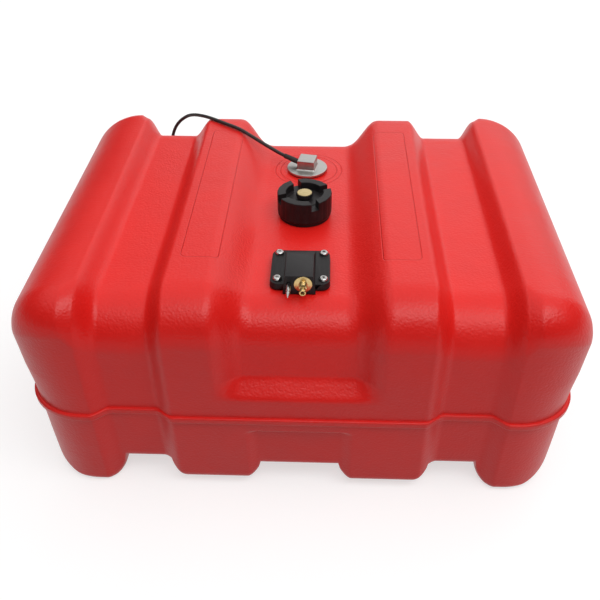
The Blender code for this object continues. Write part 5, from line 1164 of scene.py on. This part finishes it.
def smoothRoute(points, count, firstWay, lastWay):
    points = [Vector(point) for point in points]
    ways = [(points[i + 1] - points[i - 1]) / 2 for i in range(1, len(points) - 1)]
    ways = [firstWay.normalized() * (points[1] - points[0]).length] + ways
    ways.append(lastWay.normalized() * (points[-1] - points[-2]).length)
    fine = []
    for i in range(len(points) - 1):
        for step in range(cable["perSpan"]):
            t = step / cable["perSpan"]
            fine.append(points[i] * (2 * t**3 - 3 * t**2 + 1) + ways[i] * (t**3 - 2 * t**2 + t)
                        + points[i + 1] * (3 * t**2 - 2 * t**3) + ways[i + 1] * (t**3 - t**2))
    fine.append(points[-1])
    walked = [0.0]
    for a, b in zip(fine, fine[1:]):
        walked.append(walked[-1] + (b - a).length)
    route = []
    at = 0
    for index in range(count):
        target = walked[-1] * index / (count - 1)
        while at < len(fine) - 2 and walked[at + 1] < target:
            at += 1
        route.append(fine[at].lerp(fine[at + 1], (target - walked[at]) / (walked[at + 1] - walked[at])))
    return route


def buildCable():
    wound = coilPlaces()
    route = smoothRoute(cableRoute + [tuple(wound[0])], cable["places"], Vector(cableRoute[0]) - cableFace(),
                        wound[1] - wound[0])
    places = route[:-1] + wound
    curve = bpy.data.curves.new("senderCable", "CURVE")
    curve.dimensions = "3D"
    curve.bevel_depth = cable["radius"]
    curve.bevel_resolution = 6
    curve.use_fill_caps = True
    spline = curve.splines.new("POLY")
    spline.points.add(len(places) - 1)
    for point, spot in zip(spline.points, places):
        point.co = (*spot, 1.0)
    curve.materials.append(mats["jacket"])
    piece = bpy.data.objects.new("senderCable", curve)
    bpy.context.scene.collection.objects.link(piece)
    place(piece, "tank", "cable_jacket", "sender_cable", "cable_coil")
    end = wound[-1]
    way = (wound[-1] - wound[-2]).normalized()
    plugPieces = buildPlug(end, way)
    plugPieces.append(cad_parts["coil_tie"])


def buildPlug(end, way):
    spot = toward(way, end + way * gap)
    level = spot @ Matrix.Rotation(math.atan2(spot.col[1].z, spot.col[0].z), 4, "Z")
    low = plug["bootLength"]
    high = low + plug["length"]
    bootRadius = plug["bootRadius"]
    bootEnd = low + plug["bootSeat"]
    folds = [(0.75, 0.0), (0.80, 0.15), (0.70, 0.2), (0.72, 0.27), (0.88, 0.32), (0.90, 0.46), (0.78, 0.50),
             (0.80, 0.58), (1.0, 0.64)]  # shares of the boot's radius and of its free length
    profile = [(0.0, 0.0)] + [(bootRadius * wide, low * along) for wide, along in folds]
    profile += [(bootRadius, bootEnd), (0.0, bootEnd)]
    boot = turned("plugBoot", profile, 40, closed=False, edge=plug["bootEdge"])
    bootPiece = addObject("plugBoot", moved(boot, spot), mats["rubber"])
    place(bootPiece, "tank", "black_rubber", "plug_boot")
    h = plug["height"] / 2
    w = plug["width"] / 2
    wall = plug["wall"]
    shell = addObject("cablePlug", moved(boxMesh("plug", (-h, -w, low), (h, w, high)), level), mats["nylon"])
    roundEdges(shell, plug["edge"], 3, 35, 50)
    floor = high - plug["mouth"]
    holes = [boxMesh("mouth", (wall - h, wall - w, floor), (h - wall, w - wall, high + overrun)),
             cylinderMesh("seat", bootRadius + gap, low - overrun, bootEnd + gap, 32)]
    for side in (-1, 1):
        holes.append(cylinderMesh("socket", plug["contactRadius"], floor - plug["contactDepth"], high, 20,
                                  (0.0, side * plug["contactPlace"])))
    for hole in holes:
        combine(shell, moved(hole, level), "DIFFERENCE")
    ribs = []
    for side in (-1, 0, 1):
        middle = side * w * plug["ribShare"]
        ribs.append(boxMesh("rib", (-h - plug["ribProud"], middle - plug["ribHalf"], low + plug["ribStart"]),
                            (h + plug["ribProud"], middle + plug["ribHalf"], low + plug["ribEnd"])))
    ribPiece = addObject("plugRibs", moved(joined("ribs", ribs), level), mats["nylon"])
    settle(shell, 35)
    place(shell, "tank", "black_plastic", "cable_plug")
    place(ribPiece, "tank", "black_plastic")
    return [bootPiece, shell, ribPiece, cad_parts["plug_contact_1"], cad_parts["plug_contact_2"]]


# Kept nodes get the finished materials

def dressNodes():
    looks = {
        "cap_gasket": "rubber", "pickup_gasket": "rubber", "screw_insert_1": "brass",
        "screw_insert_2": "brass", "screw_insert_3": "brass", "screw_insert_4": "brass",
        "nipple_seal": "rubber", "valve_poppet": "steel", "valve_spring": "steel", "pickup_tube": "pale",
        "pickup_strainer": "strainer", "sender_gasket": "rubber", "sender_insert": "brass",
        "sender_stem": "pale", "sender_float": "foam", "float_stop": "pale", "coil_tie": "nylon",
        "plug_contact_1": "brass", "plug_contact_2": "brass",
    }
    for name, look in looks.items():
        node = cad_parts[name]
        if not node.material_slots:
            node.data.materials.append(mats[look])
        for materialSlot in node.material_slots:
            materialSlot.material = mats[look]


# Stage

stage = {
    "floorColor": 0.48, "floorRoughness": 0.9, "floorSize": 12.0, "floorGlow": 0.63, "nearGlow": 0.9,
    "farGlow": 3.5, "skyLight": 0.07,
    "lights": (  # name, place, target, width, depth, glow
        ("topLight", (0.15, 0.55, 1.9), (0.15, 0.55, 0.0), 4.4, 3.6, 0.93),
        ("backLight", (0.9, 2.4, 1.25), (0.1, 0.0, 0.3), 3.6, 1.4, 1.10),
        ("frontLight", (0.60, -1.15, 2.05), (0.0, -0.20, 0.25), 2.4, 0.9, 3.6),
    ),
}
view = {  # metres, degrees, and pixels of the photo
    "place": (0.0260, -0.8309, 0.7373), "yaw": -2.24, "pitch": -37.47, "roll": -0.34, "focal": 800.0,
    "photoWidth": 600.0, "photoShift": 4.53, "sensor": 36.0,
}


def buildStage():
    floorMesh = bpy.data.meshes.new("studioFloor")
    work = bmesh.new()
    bmesh.ops.create_grid(work, x_segments=2, y_segments=2, size=stage["floorSize"])
    work.to_mesh(floorMesh)
    work.free()
    floor = bpy.data.objects.new("studioFloor", floorMesh)
    bpy.context.scene.collection.objects.link(floor)
    material, tree, shader, coords = startMaterial("paleFloor")
    shader.inputs["Base Color"].default_value = (stage["floorColor"],) * 3 + (1.0,)
    shader.inputs["Roughness"].default_value = stage["floorRoughness"]
    shader.inputs["Specular IOR Level"].default_value = 0.0
    shader.inputs["Emission Color"].default_value = (1.0, 1.0, 1.0, 1.0)
    rays = tree.nodes.new("ShaderNodeLightPath")
    seen = calc(tree, "ADD", rays.outputs["Is Camera Ray"], rays.outputs["Is Glossy Ray"])
    seen = calc(tree, "ADD", seen, rays.outputs["Is Transmission Ray"])
    x, y = axesOf(tree, coords)[:2]
    glow = spread(tree, lengthOf(tree, x, y), stage["nearGlow"], stage["farGlow"], stage["floorGlow"], 1.0,
                  smooth=True)
    tree.links.new(calc(tree, "MULTIPLY", seen, glow), shader.inputs["Emission Strength"])
    floorMesh.materials.append(material)

    world = bpy.data.worlds.new("studio")
    world.use_nodes = True
    background = world.node_tree.nodes["Background"]
    background.inputs["Color"].default_value = (1.0, 1.0, 1.0, 1.0)
    worldTree = world.node_tree
    eye = worldTree.nodes.new("ShaderNodeLightPath")
    sky = spread(worldTree, eye.outputs["Is Camera Ray"], 0.0, 1.0, stage["skyLight"], 1.0)
    worldTree.links.new(sky, background.inputs["Strength"])
    bpy.context.scene.world = world

    for name, spot, target, width, depth, glow in stage["lights"]:
        light = bpy.data.lights.new(name, "AREA")
        light.shape = "RECTANGLE"
        light.size = width
        light.size_y = depth
        light.energy = glow * math.pi * width * depth
        lamp = bpy.data.objects.new(name, light)
        lamp.location = spot
        lamp.rotation_euler = (Vector(target) - Vector(spot)).to_track_quat("-Z", "Y").to_euler()
        bpy.context.scene.collection.objects.link(lamp)


def buildCamera():
    yaw, pitch, roll = (math.radians(view[name]) for name in ("yaw", "pitch", "roll"))
    forward = Vector((math.sin(yaw) * math.cos(pitch), math.cos(yaw) * math.cos(pitch), math.sin(pitch)))
    right = Vector((math.cos(yaw), -math.sin(yaw), 0.0))
    up = right.cross(forward)
    across = right * math.cos(roll) + up * math.sin(roll)
    upward = up * math.cos(roll) - right * math.sin(roll)
    data = bpy.data.cameras.new("photoCamera")
    data.sensor_width = view["sensor"]
    data.lens = view["sensor"] * view["focal"] / view["photoWidth"]
    data.shift_y = view["photoShift"] / view["photoWidth"]
    camera = bpy.data.objects.new("photoCamera", data)
    rotation = Matrix((across, upward, -forward)).transposed().to_4x4()
    camera.matrix_world = Matrix.Translation(view["place"]) @ rotation
    bpy.context.scene.collection.objects.link(camera)
    bpy.context.scene.camera = camera


buildCamera()
buildStage()
print("stage: camera and light set")
buildCable()
print("stage: cable laid")
buildTank()
print("stage: tank moulded")
buildCap()
print("stage: cap made")
buildPickup()
print("stage: pickup made")
buildSender()
print("stage: sender made")
dressNodes()
bpy.context.scene.view_settings.view_transform = "Standard"
bpy.context.view_layer.update()
